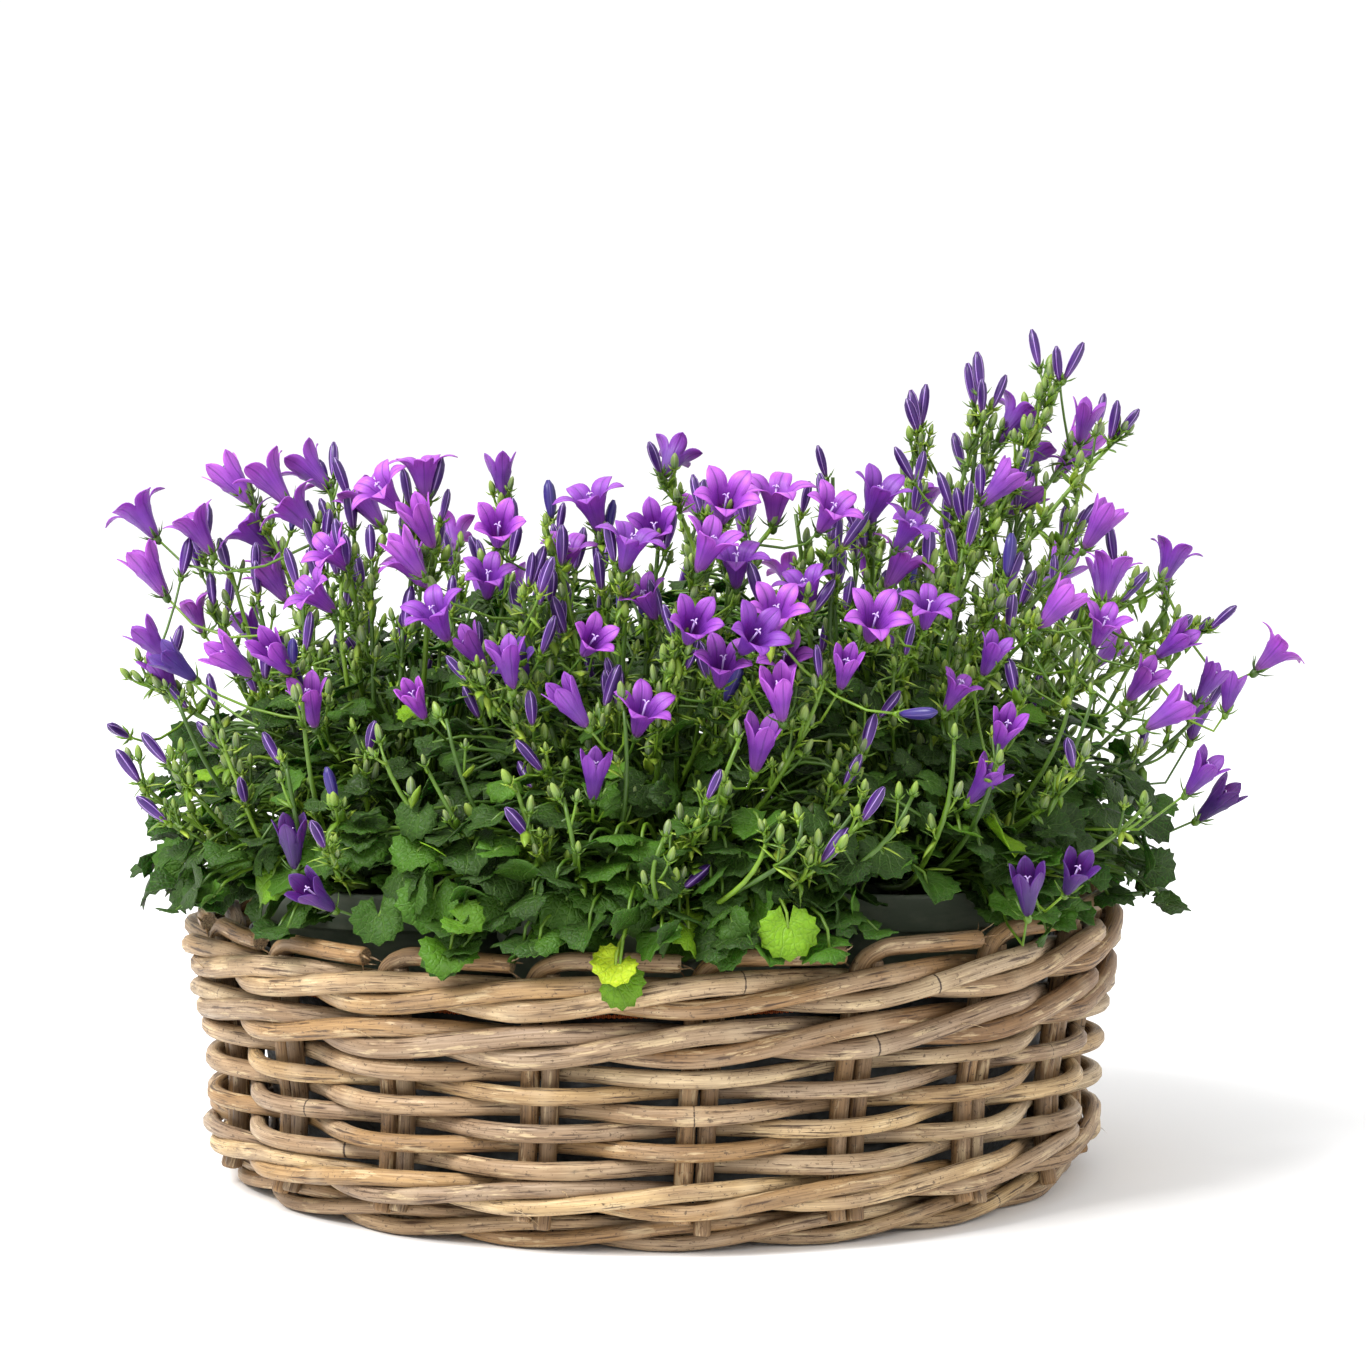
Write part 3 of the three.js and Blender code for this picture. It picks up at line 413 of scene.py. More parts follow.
def cane_finish(name, tones):
    """Dried cane: stained and peeled, with fine fibres, dark cracks, speckles and a ring at each node.

    A stain is noise in the cane's own grain. It covers the base with its colour from one level of the
    noise on, and has its full share at the next.
    """
    cane = Finish(name, Specular_IOR_Level=0.42)
    grain = cane.mark("grain", "Vector")

    def stain(base, across, along, detail, rough, start, full, share, colour):
        spots = cane.noise(cane.scaled(grain, (across, across, along)), 1.0, detail, rough)
        cover = cane.ramp(spots, (start, 0.0), (full, share))
        return cane.mix(cover, base, colour), cover

    last = len(tones) - 1
    base = cane.ramp(cane.mark("tone"), *[(index / last, paint(*tone)) for index, tone in enumerate(tones)])
    base, _ = stain(base, 0.16, 0.035, 3.0, 0.5, 0.4, 0.68, 0.75, paint(128, 102, 74))
    base, _ = stain(base, 0.1, 0.02, 2.0, 0.5, 0.5, 0.66, 0.5, paint(168, 150, 128))
    base, _ = stain(base, 0.3, 0.045, 4.0, 0.6, 0.57, 0.62, 0.5, paint(216, 196, 158))
    fibre = cane.noise(cane.scaled(grain, (1.9, 1.9, 0.035)), 1.0, 3.0, 0.65)
    base = cane.times(base, cane.ramp(fibre, (0.3, (0.56, 0.5, 0.42, 1.0)), (0.62, (1.08, 1.05, 1.0, 1.0))))
    base, cracks = stain(base, 0.85, 0.05, 4.0, 0.6, 0.57, 0.65, 0.9, paint(62, 40, 24))
    base, _ = stain(base, 0.75, 0.6, 5.0, 0.7, 0.58, 0.65, 0.85, paint(76, 58, 42))
    ring = cane.mark("ring")
    band = cane.ramp(cane.math("DIVIDE", ring, 6.0, True), (0.1, 1.0), (1.0, 0.0))
    base = cane.mix(cane.math("MULTIPLY", band, 0.2), base, paint(204, 184, 150))
    line = cane.ramp(cane.math("ADD", ring, cane.math("MULTIPLY", fibre, 0.9)), (0.75, 1.0), (1.0, 0.0))
    base = cane.mix(cane.math("MULTIPLY", line, 0.95), base, paint(52, 36, 26))
    height = cane.math("MULTIPLY", fibre, 0.5)
    for hollow in (cracks, line):
        height = cane.math("SUBTRACT", height, cane.math("MULTIPLY", hollow, 0.6))
    cane.bump(height, 0.0006, 0.6)
    return cane.done(base, cane.ramp(fibre, (0.3, 0.62), (0.7, 0.42)))


def leaf_finish():
    """A leaf: green by age, with pale main veins towards its teeth and a fine net between them."""
    leaf = Finish(
        "leaf_green", Subsurface_Weight=0.2, Subsurface_Scale=0.002, Subsurface_Radius=(0.5, 1.0, 0.2),
        Specular_IOR_Level=0.2,
    )
    place = leaf.place()
    base = leaf.ramp(
        leaf.mark("youth"), (0.0, paint(28, 44, 12)), (0.3, paint(38, 64, 14)), (0.6, paint(60, 98, 18)),
        (0.85, paint(114, 154, 26)), (1.0, paint(176, 190, 36)),
    )
    patch = leaf.noise(place, 90.0, 3.0)
    base = leaf.times(base, leaf.ramp(patch, (0.3, 0.72), (0.7, 1.25)))
    tooth = leaf.math("FRACT", leaf.math("MULTIPLY", leaf.mark("span"), 5.0))
    aside = leaf.math("ABSOLUTE", leaf.math("SUBTRACT", tooth, 0.5))
    width = leaf.math("DIVIDE", 0.05, leaf.math("ADD", leaf.mark("reach"), 0.12))
    vein = leaf.math("SUBTRACT", 1.0, leaf.math("DIVIDE", aside, width), True)
    base = leaf.mix(leaf.math("MULTIPLY", vein, 0.24), base, paint(110, 142, 70))
    cells = leaf.node(
        "ShaderNodeTexVoronoi", {"Vector": place, "Scale": 430.0}, "Distance", feature="DISTANCE_TO_EDGE")
    net = leaf.ramp(cells, (0.0, 0.0), (0.25, 1.0))
    base = leaf.mix(leaf.ramp(cells, (0.0, 0.1), (0.1, 0.0)), base, paint(96, 128, 60))
    leaf.bump(leaf.math("SUBTRACT", net, leaf.math("MULTIPLY", vein, 1.2)), 0.0005, 0.55)
    return leaf.done(base, leaf.ramp(patch, (0.3, 0.62), (0.7, 0.46)))


def stem_finish():
    """Stems, stalks and calyxes: fresh green, yellower where young, with fine ribs."""
    stem = Finish(
        "stem_green", Subsurface_Weight=0.1, Subsurface_Scale=0.002, Subsurface_Radius=(0.6, 1.0, 0.2),
        Roughness=0.45,
    )
    base = stem.ramp(
        stem.mark("youth"), (0.0, paint(34, 56, 12)), (0.4, paint(62, 94, 18)), (0.75, paint(98, 132, 26)),
        (1.0, paint(150, 172, 54)),
    )
    patch = stem.noise(stem.place(), 260.0)
    stem.bump(patch, 0.0003, 0.4)
    return stem.done(stem.times(base, stem.ramp(patch, (0.3, 0.8), (0.7, 1.15))))


def petal_finish():
    """A petal: deep violet tube, brighter lobes, a dark midvein and fine veins that run along it."""
    petal = Finish(
        "petal_violet", Subsurface_Weight=0.15, Subsurface_Scale=0.003, Subsurface_Radius=(1.0, 0.4, 1.0),
        Roughness=0.5,
    )
    reach = petal.mark("reach")
    edge = petal.mark("edge")
    tone = petal.mark("tone")
    base = petal.ramp(
        reach, (0.0, paint(172, 138, 172)), (0.1, paint(128, 68, 158)), (0.4, paint(118, 48, 160)),
        (0.6, paint(146, 68, 180)), (0.85, paint(174, 92, 198)), (1.0, paint(156, 72, 184)),
    )
    # The tone mark darkens the bell: partly a random tone, partly painted shade on bells low down
    base = petal.times(base, petal.ramp(
        tone, (0.0, paint(104, 84, 140)), (0.35, paint(190, 168, 216)), (1.0, paint(255, 240, 252))))
    middle = petal.ramp(edge, (0.02, 1.0), (0.14, 0.0))
    base = petal.mix(petal.math("MULTIPLY", middle, 0.62), base, paint(76, 22, 118))
    along = petal.node("ShaderNodeCombineXYZ", {
        "X": petal.math("MULTIPLY", edge, 11.0),
        "Y": petal.math("MULTIPLY", reach, 1.6),
        "Z": petal.math("MULTIPLY", tone, 40.0),
    })
    lines = petal.noise(along, 1.0, 3.0)
    base = petal.times(base, petal.ramp(lines, (0.3, 0.78), (0.65, 1.12)))
    base = petal.mix(petal.mark("wilt"), base, paint(44, 34, 112))
    petal.bump(petal.math("SUBTRACT", lines, petal.math("MULTIPLY", middle, 0.7)), 0.0005, 0.5)
    return petal.done(base)


def bud_finish():
    """A bud: dark violet pleats with a pale rib on each where it is ripe, and green where it is young."""
    bud = Finish("bud_violet", Roughness=0.42, Subsurface_Weight=0.05, Subsurface_Scale=0.002)
    bearing = bud.node("ShaderNodeSeparateXYZ", {"Vector": bud.mark("around", "Vector")}).node
    angle = bud.math("ARCTAN2", bearing.outputs[1], bearing.outputs[0])
    turn = bud.math("FRACT", bud.math("ADD", bud.math("MULTIPLY", angle, 5 / TAU), 2.5))
    aside = bud.math("ABSOLUTE", bud.math("SUBTRACT", turn, 0.5))
    rib = bud.ramp(aside, (0.04, 1.0), (0.11, 0.0))
    reach = bud.mark("reach")
    base = bud.ramp(
        reach, (0.0, paint(150, 140, 124)), (0.12, paint(92, 46, 128)), (0.45, paint(64, 20, 108)),
        (1.0, paint(44, 12, 78)),
    )
    base = bud.mix(bud.math("MULTIPLY", rib, 0.85), base, paint(182, 146, 220))
    young = bud.ramp(reach, (0.0, paint(84, 124, 28)), (1.0, paint(134, 156, 60)))
    base = bud.mix(bud.mark("youth"), base, young)
    base = bud.mix(bud.mark("wilt"), base, paint(40, 32, 108))
    bud.bump(aside, 0.0006, 0.5)
    return bud.done(base)


def style_finish():
    """The pale style in a bell's throat."""
    style = Finish("style_lilac", Roughness=0.5)
    patch = style.noise(style.place(), 500.0)
    return style.done(style.mix(patch, paint(180, 142, 218), paint(222, 200, 240)))


def liner_finish():
    """Dark plastic film with a soft sheen and fine creases."""
    film = Finish("liner_film", Specular_IOR_Level=0.5)
    creases = film.noise(film.scaled(film.place(), (1.0, 1.0, 2.2)), 38.0, 5.0, 0.62)
    dust = film.noise(film.place(), 160.0, 3.0)
    film.bump(creases, 0.003, 0.7)
    base = film.mix(film.ramp(dust, (0.45, 0.0), (0.75, 0.5)), paint(34, 38, 38), paint(84, 88, 84))
    return film.done(base, film.ramp(creases, (0.3, 0.32), (0.7, 0.55)))


def thread_finish():
    """Orange sewing thread, twisted."""
    thread = Finish("orange_thread", Roughness=0.7)
    feeds = {"Vector": thread.place(), "Scale": 420.0, "Distortion": 2.0}
    twist = thread.node("ShaderNodeTexWave", feeds, "Fac")
    thread.bump(twist, 0.0003, 0.6)
    return thread.done(thread.mix(twist, paint(206, 74, 26), paint(250, 140, 74)))


def pot_finish():
    """Moulded pot plastic, dark grey green, scuffed and a little dusty."""
    pot = Finish("pot_plastic", Specular_IOR_Level=0.45)
    place = pot.place()
    scuff = pot.noise(pot.scaled(place, (1.0, 1.0, 3.0)), 70.0, 5.0, 0.6)
    base = pot.mix(pot.ramp(scuff, (0.45, 0.0), (0.75, 0.6)), paint(102, 112, 94), paint(136, 142, 122))
    pot.bump(pot.math("ADD", pot.noise(place, 900.0), scuff), 0.0002, 0.5)
    return pot.done(base, pot.ramp(scuff, (0.35, 0.36), (0.7, 0.6)))


def soil_finish():
    """Moist potting soil with pale crumbs."""
    soil = Finish("potting_soil", Specular_IOR_Level=0.3)
    place = soil.place()
    crumbs = soil.noise(place, 300.0, 6.0, 0.7)
    specks = soil.node("ShaderNodeTexVoronoi", {"Vector": place, "Scale": 260.0}, "Distance")
    base = soil.ramp(crumbs, (0.3, paint(26, 18, 14)), (0.55, paint(58, 42, 32)), (0.75, paint(98, 76, 58)))
    base = soil.mix(soil.ramp(specks, (0.1, 0.7), (0.16, 0.0)), base, paint(196, 184, 164))
    soil.bump(crumbs, 0.003, 0.9)
    return soil.done(base, soil.ramp(crumbs, (0.3, 0.95), (0.7, 0.7)))


# Basket

def wall_radius(height):
    """The wall's radius, which is even up to the waist and grows steadily from there to the rim."""
    rise = np.maximum((height - WAIST_HEIGHT) / (RIM_HEIGHT - WAIST_HEIGHT), 0)
    return WAIST_RADIUS + (RIM_RADIUS - WAIST_RADIUS) * rise


def rim_lift(turn):
    """The share by which heights grow at a turn: a mean, more in front, and more at the right."""
    mean, front, right = RIM_LIFT
    return mean + front * np.cos(turn) + right * np.sin(turn)


def outward_at(turn):
    """The level direction away from the axis at a turn, which is 0 in front and grows to the right."""
    return joined(np.sin(turn), -np.cos(turn), 0.0)


def wall_point(turn, radius, height):
    """A point of the wall: its turn leans with its height, and its height is lifted as the rim is."""
    leaned = turn + LEAN_PER_MM * height
    return joined(radius * np.sin(leaned), -radius * np.cos(leaned), height * rim_lift(turn))


def row_sizes():
    """Each woven row's height, depth and centre height, stacked from the floor up."""
    found = {}
    top = 0
    for name in ROW_ORDER:
        height, depth = WALES.get(name, SIDE_ROW)
        half = height + CROSSING_GAP / 2 if name in WALES else height / 2
        found[name] = (height, depth, top + half)
        top += 2 * half + GAP
    return found, top


ROWS, BORDER_FOOT = row_sizes()
BORDER_HEIGHT = BORDER_FOOT + STAKE_WIDTH / 2
STAKE_BOTTOM = ROWS["foot_wale"][2] + ROWS["foot_wale"][0] + CROSSING_GAP / 2 + GAP


def cane_rods(skin, random, path, reference, radius, tone):
    """One cane along a path: a round section that swells at its nodes, wanders a little and has cut ends.

    The radius is multiplied by a wide and a narrow bell curve round each node and by slow sine waves. A mark
    on each point keeps its place in the cane's own grain, and another its distance from the nearest node.
    """
    step = np.linalg.norm(np.diff(path, axis=0), axis=1)
    along = np.concatenate([[0], np.cumsum(step)])
    least, most = NODE_DISTANCE
    nodes = np.cumsum(random.uniform(least, most, int(along[-1] // least) + 2)) - random.uniform(0, 110)
    away = np.abs(along[:, None] - nodes).min(1)
    swell = 1 + 0.075 * np.exp(-(away / 5) ** 2) - 0.05 * np.exp(-(away / 1.3) ** 2)
    ends = np.minimum(along, along[-1] - along)
    radii = radius * swell * (1 + waver(along, random, (0.05, 0.021, 0.11), 0.03))
    radii = radii * (1 - 0.14 * np.exp(-(ends / 0.35) ** 2))
    angle = TAU * np.arange(CANE_SIDES) / CANE_SIDES
    grain = joined(np.cos(angle) * radius, np.sin(angle) * radius, along[:, None] + random.uniform(0, 5000))
    ring = np.where(ends < 0.01, 0.5, away)
    rods(skin, path[None], radii, CANE_SIDES, reference, grain=grain, tone=tone, ring=ring)


def loose_fibres(skin, random, root, ahead, outward, length, width):
    """Fibres that have split from a cane: thin rods that run on along it and curl outwards to a point."""
    count = len(root)
    way = np.linspace(0, 1, len(FIBRE_TAPER))[:, None]
    curl = random.uniform(-0.6, 0.6, (count, 1, 3)) + 0.35 * outward[:, None]
    path = root[:, None] + length[:, None, None] * (ahead[:, None] * way + curl * way ** 2)
    points = rings_along(path, width[:, None] * FIBRE_TAPER, 4, outward[:, None], 0.5)
    place = random.uniform(0, 900, (count, 1, 1, 3)) + points * 0.5
    skin.add(points, tube_faces(count, len(FIBRE_TAPER), 4), grain=place, tone=0.4, ring=30.0)


def weave_beat(place, strand, wale):
    """How far out and how high a strand runs at a place counted in stakes.

    In plain weave the side is the cosine of half a turn for each stake. In a wale the strand stays outside
    past two stakes while it rises, and dips behind the third while it falls.
    """
    if not wale:
        return np.cos(math.pi * (place + strand)), np.zeros_like(place)
    side = 1 - 2 * smooth(1 - np.abs((place + strand) % 3 - 2))
    course = ((place + strand) % 3 - 1.15) % 3
    level = np.where(course < 1.7, 1 - 2 * smooth(course / 1.7), -1 + 2 * smooth((course - 1.7) / 1.3))
    return side, level


def woven_strand(name, strand, random, finish):
    """A ring of the weave, in three canes whose ends meet behind stakes."""
    row = name.rsplit("_strand_", 1)[0]
    height, depth, centre = ROWS[row]
    wale = row in WALES
    foot = row == "foot_wale"
    inward = depth + GAP if foot else STAKE_HALF_DEPTH + depth / 2
    outward = inward if foot else inward + GAP + 1.1
    first = (2 if wale else 1) - strand + (3 if wale else 2) * random.integers(0, 3)
    split_fibres = 3 if wale and not foot else 1
    skin = Skin()
    for part in range(CANE_PARTS):
        place = first + PART_STAKES * part + np.linspace(0.015, PART_STAKES - 0.015, PART_STATIONS)
        side, level = weave_beat(place, strand, wale)
        turn = FIRST_STAKE + place * SPACING
        up = centre + level * (height + CROSSING_GAP) / 2 + waver(place, random, (1.3, 2.9, 0.7), 0.45)
        wall = FOOT_RADIUS if foot else wall_radius(up)
        out = (outward - inward) / 2 + side * (outward + inward) / 2
        out = out + waver(place, random, (2.1, 1.1, 3.7), 0.35)
        path = wall_point(turn, wall + out, up)
        away = outward_at(turn)
        thick = (height + depth) / 4 * random.uniform(0.93, 1.06)
        path[:, 2] = np.maximum(path[:, 2], 1.12 * thick)
        cane_rods(skin, random, path, away, thick, random.uniform(0, 1))
        index = random.integers(8, 100, split_fibres)
        loose_fibres(
            skin, random, path[index] + away[index] * thick * 0.9,
            unit(path[index + 3] - path[index]), away[index],
            random.uniform(5, 11, split_fibres), random.uniform(0.14, 0.24, split_fibres),
        )
    skin.piece(f"{name}_canes", finish, [name])


def stake_path(turn, along, height, out):
    """The line of a stake through given stations: along the rim, height, and out from the wall.

    Between two stations each value follows the cubic that has the stations' own slopes.
    """
    last = len(along) - 1
    fine = np.linspace(0, last, 14 * last + 1)
    index = np.minimum(fine.astype(int), last - 1)
    share = (fine - index)[:, None]
    squared = share ** 2
    cubed = share ** 3
    values = joined(along, height, out).astype(float)
    slope = np.gradient(values, axis=0)
    along, height, out = (
        (2 * cubed - 3 * squared + 1) * values[index] + (cubed - 2 * squared + share) * slope[index]
        + (3 * squared - 2 * cubed) * values[index + 1] + (cubed - squared) * slope[index + 1]
    ).T
    radius = wall_radius(np.minimum(height, RIM_HEIGHT)) + out
    return wall_point(turn + along / radius, radius, height)


def stake_pair(number, random, finish):
    """Two stakes side by side: the left one bends over to the right, lies along the rim and ends frayed."""
    turn = FIRST_STAKE + number * SPACING
    reference = outward_at(turn)
    reach = RIM_RADIUS * SPACING
    left_end, right_end = STAKE_BOTTOM - 8 + random.uniform(0, 6, 2)
    left = stake_path(
        turn,
        [*[-PAIR_OFFSET] * 4, -PAIR_OFFSET + 0.4, 5, 20, reach * 0.55, reach * 0.84],
        [left_end, 22, 40, 72, 104,
         BORDER_HEIGHT - 0.6, BORDER_HEIGHT + 0.4, BORDER_HEIGHT, BORDER_HEIGHT - 0.6],
        [3.4, 0.6, 0, 0, 0, 0.2, 1.2, 2, 2.6],
    )
    right = stake_path(
        turn, [PAIR_OFFSET] * 5, [right_end, 22, 40, 75, RIM_HEIGHT + 1.2], [3.4, 0.6, 0, 0, 0])
    skin = Skin()
    cane_rods(skin, random, left, reference, STAKE_WIDTH / 2 * 0.97, random.uniform(0, 0.55))
    ahead = unit(left[-1] - left[-4])
    turns = random.uniform(0, TAU, FRAYED_FIBRES)[:, None]
    side = reference * np.cos(turns) + UP * np.sin(turns)
    root = left[-1] - ahead * 2 + side * STAKE_WIDTH / 2 * 0.75
    loose_fibres(skin, random, root, ahead + np.zeros_like(root), side, random.uniform(4, 7.5, FRAYED_FIBRES),
                 random.uniform(0.35, 0.8, FRAYED_FIBRES))
    # The right stake takes the darker end of the stake tones: partly its own greyer colour, partly painted
    # shade where it sits further in
    cane_rods(skin, random, right, reference, STAKE_WIDTH / 2 * 0.92, random.uniform(0.45, 1))
    name = f"stake_pair_{number + 1:02d}"
    skin.piece(f"{name}_canes", finish, [name])


def basket_base(finish):
    """The woven bottom: below, rings of cane that wave over and under spokes, and a flat top."""
    under = joined(np.linspace(0.004, 1, 58) * BASE_RADIUS, 2.0)
    over = [[BASE_RADIUS, 8.9], [140, 9], [60, 9], [0, 9]]

    def weave(out, level, angle):
        beat = out / 7.4 * math.pi
        waved = 2.6 - 1.5 * np.abs(np.sin(beat)) + 0.9 * np.cos(beat) * np.cos(STAKES * angle)
        return out, np.where(level < 5, waved, level)

    points, faces = turned(np.concatenate([under, over]), 144, weave)
    turned_piece("basket_base_weave", finish, "rattan_weaver", "basket_base", (points, faces),
                 grain=points * (0.4, 0.4, 1.0), tone=0.6, ring=50.0)


def plastic_liner(finish):
    """The liner bag: floor, wall and inner wall in one skin, creased a little where the canes press it."""
    up = np.linspace(0, 1, 22)
    foot = 149.6
    outer = np.where(up < 0.4, foot + (LINER_WAIST - foot) * up / 0.4,
                     LINER_WAIST + (LINER_RIM - LINER_WAIST) * (up - 0.4) / 0.6)
    height = LINER_FLOOR + (LINER_TOP - LINER_FLOOR) * up
    inside = joined(outer - 1.1, np.maximum(height, LINER_FLOOR_TOP))[::-1]
    profile = np.concatenate([
        [[0, LINER_FLOOR], [90, LINER_FLOOR]], joined(outer, height), inside,
        [[90, LINER_FLOOR_TOP], [0, LINER_FLOOR_TOP]],
    ])

    def crease(radius, level, angle):
        share = np.clip((level - LINER_FLOOR) / 30, 0, 1)
        fold = np.sin(angle * 23 + level * 0.05) + np.sin(angle * 41 - level * 0.08 + 1.3)
        return radius - share * 0.55 * (1 + fold * 0.5), level

    turned_piece("plastic_liner_bag", finish, "liner_film", "plastic_liner", turned(profile, 192, crease))


def liner_stitching(finish):
    """Orange sewing round the liner under its hem: a thread whose thickness beats with each stitch."""
    rows = 3 * STITCHES
    turn = TAU * np.arange(rows + 1) / rows
    height = STITCH_HEIGHT * rim_lift(turn)
    radius = LINER_WAIST + (LINER_RIM - LINER_WAIST) * (height / LINER_TOP - 0.4) / 0.6 + 0.85
    path = outward_at(turn) * radius[:, None]
    path[:, 2] = height
    thick = 0.42 + 0.5 * np.abs(np.sin(turn * STITCHES / 2))
    points = rings_along(path, thick, THREAD_SIDES, outward_at(turn))[:-1]
    side = np.arange(THREAD_SIDES)
    beside = (side + 1) % THREAD_SIDES
    last = (rows - 1) * THREAD_SIDES
    closing = np.stack([last + side, last + beside, beside, side], -1)
    skin = Skin()
    skin.add(points, [grid_faces(1, rows, THREAD_SIDES, True), closing])
    skin.piece("liner_stitching", finish)


# Pots and soil

def pot_centre(index):
    return POT_RING * outward_at(index * TAU / 5)


def nursery_pot(index, finish):
    """A thin-walled pot: tapering side, a step to its deep rolled rim, and an open inside."""
    shoulder = POT_TOP - 15
    profile = [
        [0, POT_FLOOR], [38, POT_FLOOR], [41.2, POT_FLOOR + 0.3], [42, POT_FLOOR + 1.5],
        [46.5, POT_FLOOR + 34], [50.8, POT_FLOOR + 66], [54.8, shoulder - 1.5], [55.2, shoulder - 0.4],
        [56.5, shoulder], [58.6, shoulder + 0.3], [59.1, shoulder + 1.2], [59.2, POT_TOP - 3],
        [59.7, POT_TOP - 1.6], [59.6, POT_TOP - 0.4], [58.9, POT_TOP], [57.6, POT_TOP - 0.1],
        [57.2, POT_TOP - 1.2], [56.6, shoulder + 3], [54.4, shoulder + 0.6], [53.4, shoulder - 2],
        [49.2, POT_FLOOR + 60], [41, POT_FLOOR + 2], [39.5, POT_FLOOR + 1.4], [0, POT_FLOOR + 1.4],
    ]
    name = f"pot_{PLACES[index]}"
    turned_piece(f"{name}_shell", finish, "pot_plastic", name, turned(profile, 72, None, pot_centre(index)))


def potting_soil(index, random, finish):
    """Soil in a pot: a crumbly top, made by crossed sine waves of three sizes, and a plain body below."""
    top = joined(np.linspace(0.01, 1, 26) * 51.5, float(SOIL_TOP))
    body = [[51.9, SOIL_TOP - 4], [50.5, SOIL_TOP - 16], [40.2, POT_FLOOR + 4], [0, POT_FLOOR + 2]]
    shift = random.uniform(0, TAU, 6)

    def crumble(radius, level, angle):
        across = radius * np.cos(angle)
        along = radius * np.sin(angle)
        bumps = sum(
            size * np.sin(across * rate + first) * np.sin(along * other_rate + second)
            for size, rate, other_rate, first, second in (
                (1.4, 0.17, 0.19, *shift[:2]), (0.9, 0.55, 0.6, *shift[2:4]), (0.6, 1.3, 1.2, *shift[4:]))
        )
        return radius, np.where(level >= SOIL_TOP, level - 1.4 + bumps, level)

    name = f"soil_{PLACES[index]}"
    shape = turned(np.concatenate([top, body])[::-1], 64, crumble, pot_centre(index))
    turned_piece(f"{name}_ground", finish, "soil", name, shape)


# Places of the blooms, stems and leaves

def drawn_numbers(seed):
    """The frame's own seeded draws, so that blooms and stems stand where the frame has them."""
    state = seed
    while True:
        state = (state * 1664525 + 1013904223) % 2 ** 32
        yield state / 2 ** 32


def dome_points(across, height):
    """Points on the near side of the dome of flowers, by place across and height."""
    beside = (across - DOME_CENTRE[0]) / DOME_REACH[0]
    above = (height - DOME_CENTRE[2]) / DOME_REACH[2]
    left = np.maximum(1 - beside ** 2 - above ** 2, 0)
    return joined(across, DOME_CENTRE[1] - DOME_REACH[1] * np.sqrt(left), height)


def on_dome(table):
    """The dome's points for a table of places across and heights in centimetres."""
    return dome_points(*np.array(table).T * 10)


def bloom_places():
    """Every bloom's place: the ones seen in front, and the ones behind at even turns and heights."""
    draw = drawn_numbers(11)
    front = on_dome(FRONT_BLOOMS)
    front[:, 1] += 38 * np.array([next(draw) for _ in front])
    index = np.arange(BACK_BLOOMS)
    height = 0.1 + 0.84 * (index + 0.5) / BACK_BLOOMS
    turn = (index * GOLDEN_TURN) % math.pi + 0.02
    level = np.sqrt(1 - height ** 2) * (0.9 + 0.1 * np.array([next(draw) for _ in index]))
    back = DOME_CENTRE + DOME_REACH * joined(level * np.cos(turn) * 0.95, level * np.sin(turn), height * 0.9)
    return np.concatenate([front, back])


def nearest_pot(places):
    centres = np.array([pot_centre(index) for index in range(5)])
    return np.linalg.norm(places[:, None, :2] - centres[None, :, :2], axis=2).argmin(1)


def bezier(start, bend, end, share):
    """Points on curves through start and end that are drawn towards a bend, at shares of the way."""
    share = np.asarray(share)[..., None]
    return (1 - share) ** 2 * start + 2 * share * (1 - share) * bend + share ** 2 * end


def curves(bows, stations):
    """Paths of so many stations along curves, each given as its start, bend and end."""
    start, bend, end = np.moveaxis(np.array(bows), 1, 0)[:, :, None]
    return bezier(start, bend, end, np.linspace(0, 1, stations)[None])


def crown_roots(crown, ends):
    """Where stalks leave the crown: inside its top, on the side that they head for."""
    bearing = np.arctan2(ends[..., 1] - crown[1], ends[..., 0] - crown[0])
    reach = 0.55 * CROWN_RADIUS
    across = crown[0] + reach * np.cos(bearing)
    along = crown[1] + reach * np.sin(bearing)
    return joined(across, along, SOIL_TOP + CROWN_ABOVE - 3)


def crown_knob(skin, crown):
    """The crown itself, a short rod that stands in the soil."""
    path = crown + UP * np.array([SOIL_TOP - 8, SOIL_TOP + 3, SOIL_TOP + CROWN_ABOVE + 0.4])[:, None]
    rods(skin, path[None], np.array([CROWN_RADIUS, CROWN_RADIUS, 5.2]), 9, np.array([1.0, 0, 0]), youth=0.0)


def across_of(paths):
    """A level direction across each path, to hang its rings on."""
    ahead = paths[:, -1] - paths[:, 0]
    return unit(joined(ahead[:, 1] + 1e-3, -ahead[:, 0], 0.0))[:, None]


def axes_of(direction):
    """Two directions across an axis, the first of them level."""
    across = unit(np.cross(UP, direction))
    return across, np.cross(direction, across)


def round_axis(direction, angle):
    """Directions across each axis, at that axis's row of angles round it."""
    across, along = axes_of(direction)
    return across[:, None] * np.cos(angle)[..., None] + along[:, None] * np.sin(angle)[..., None]


def placed(local, feet, direction):
    """Copies of a shape given by (across, along, up) with up turned to each copy's direction."""
    basis = np.stack([*axes_of(direction), direction], 1)
    return np.einsum("n...i,nij->n...j", local, basis) + feet.reshape(-1, *[1] * (local.ndim - 2), 3)


# Parts of the plants

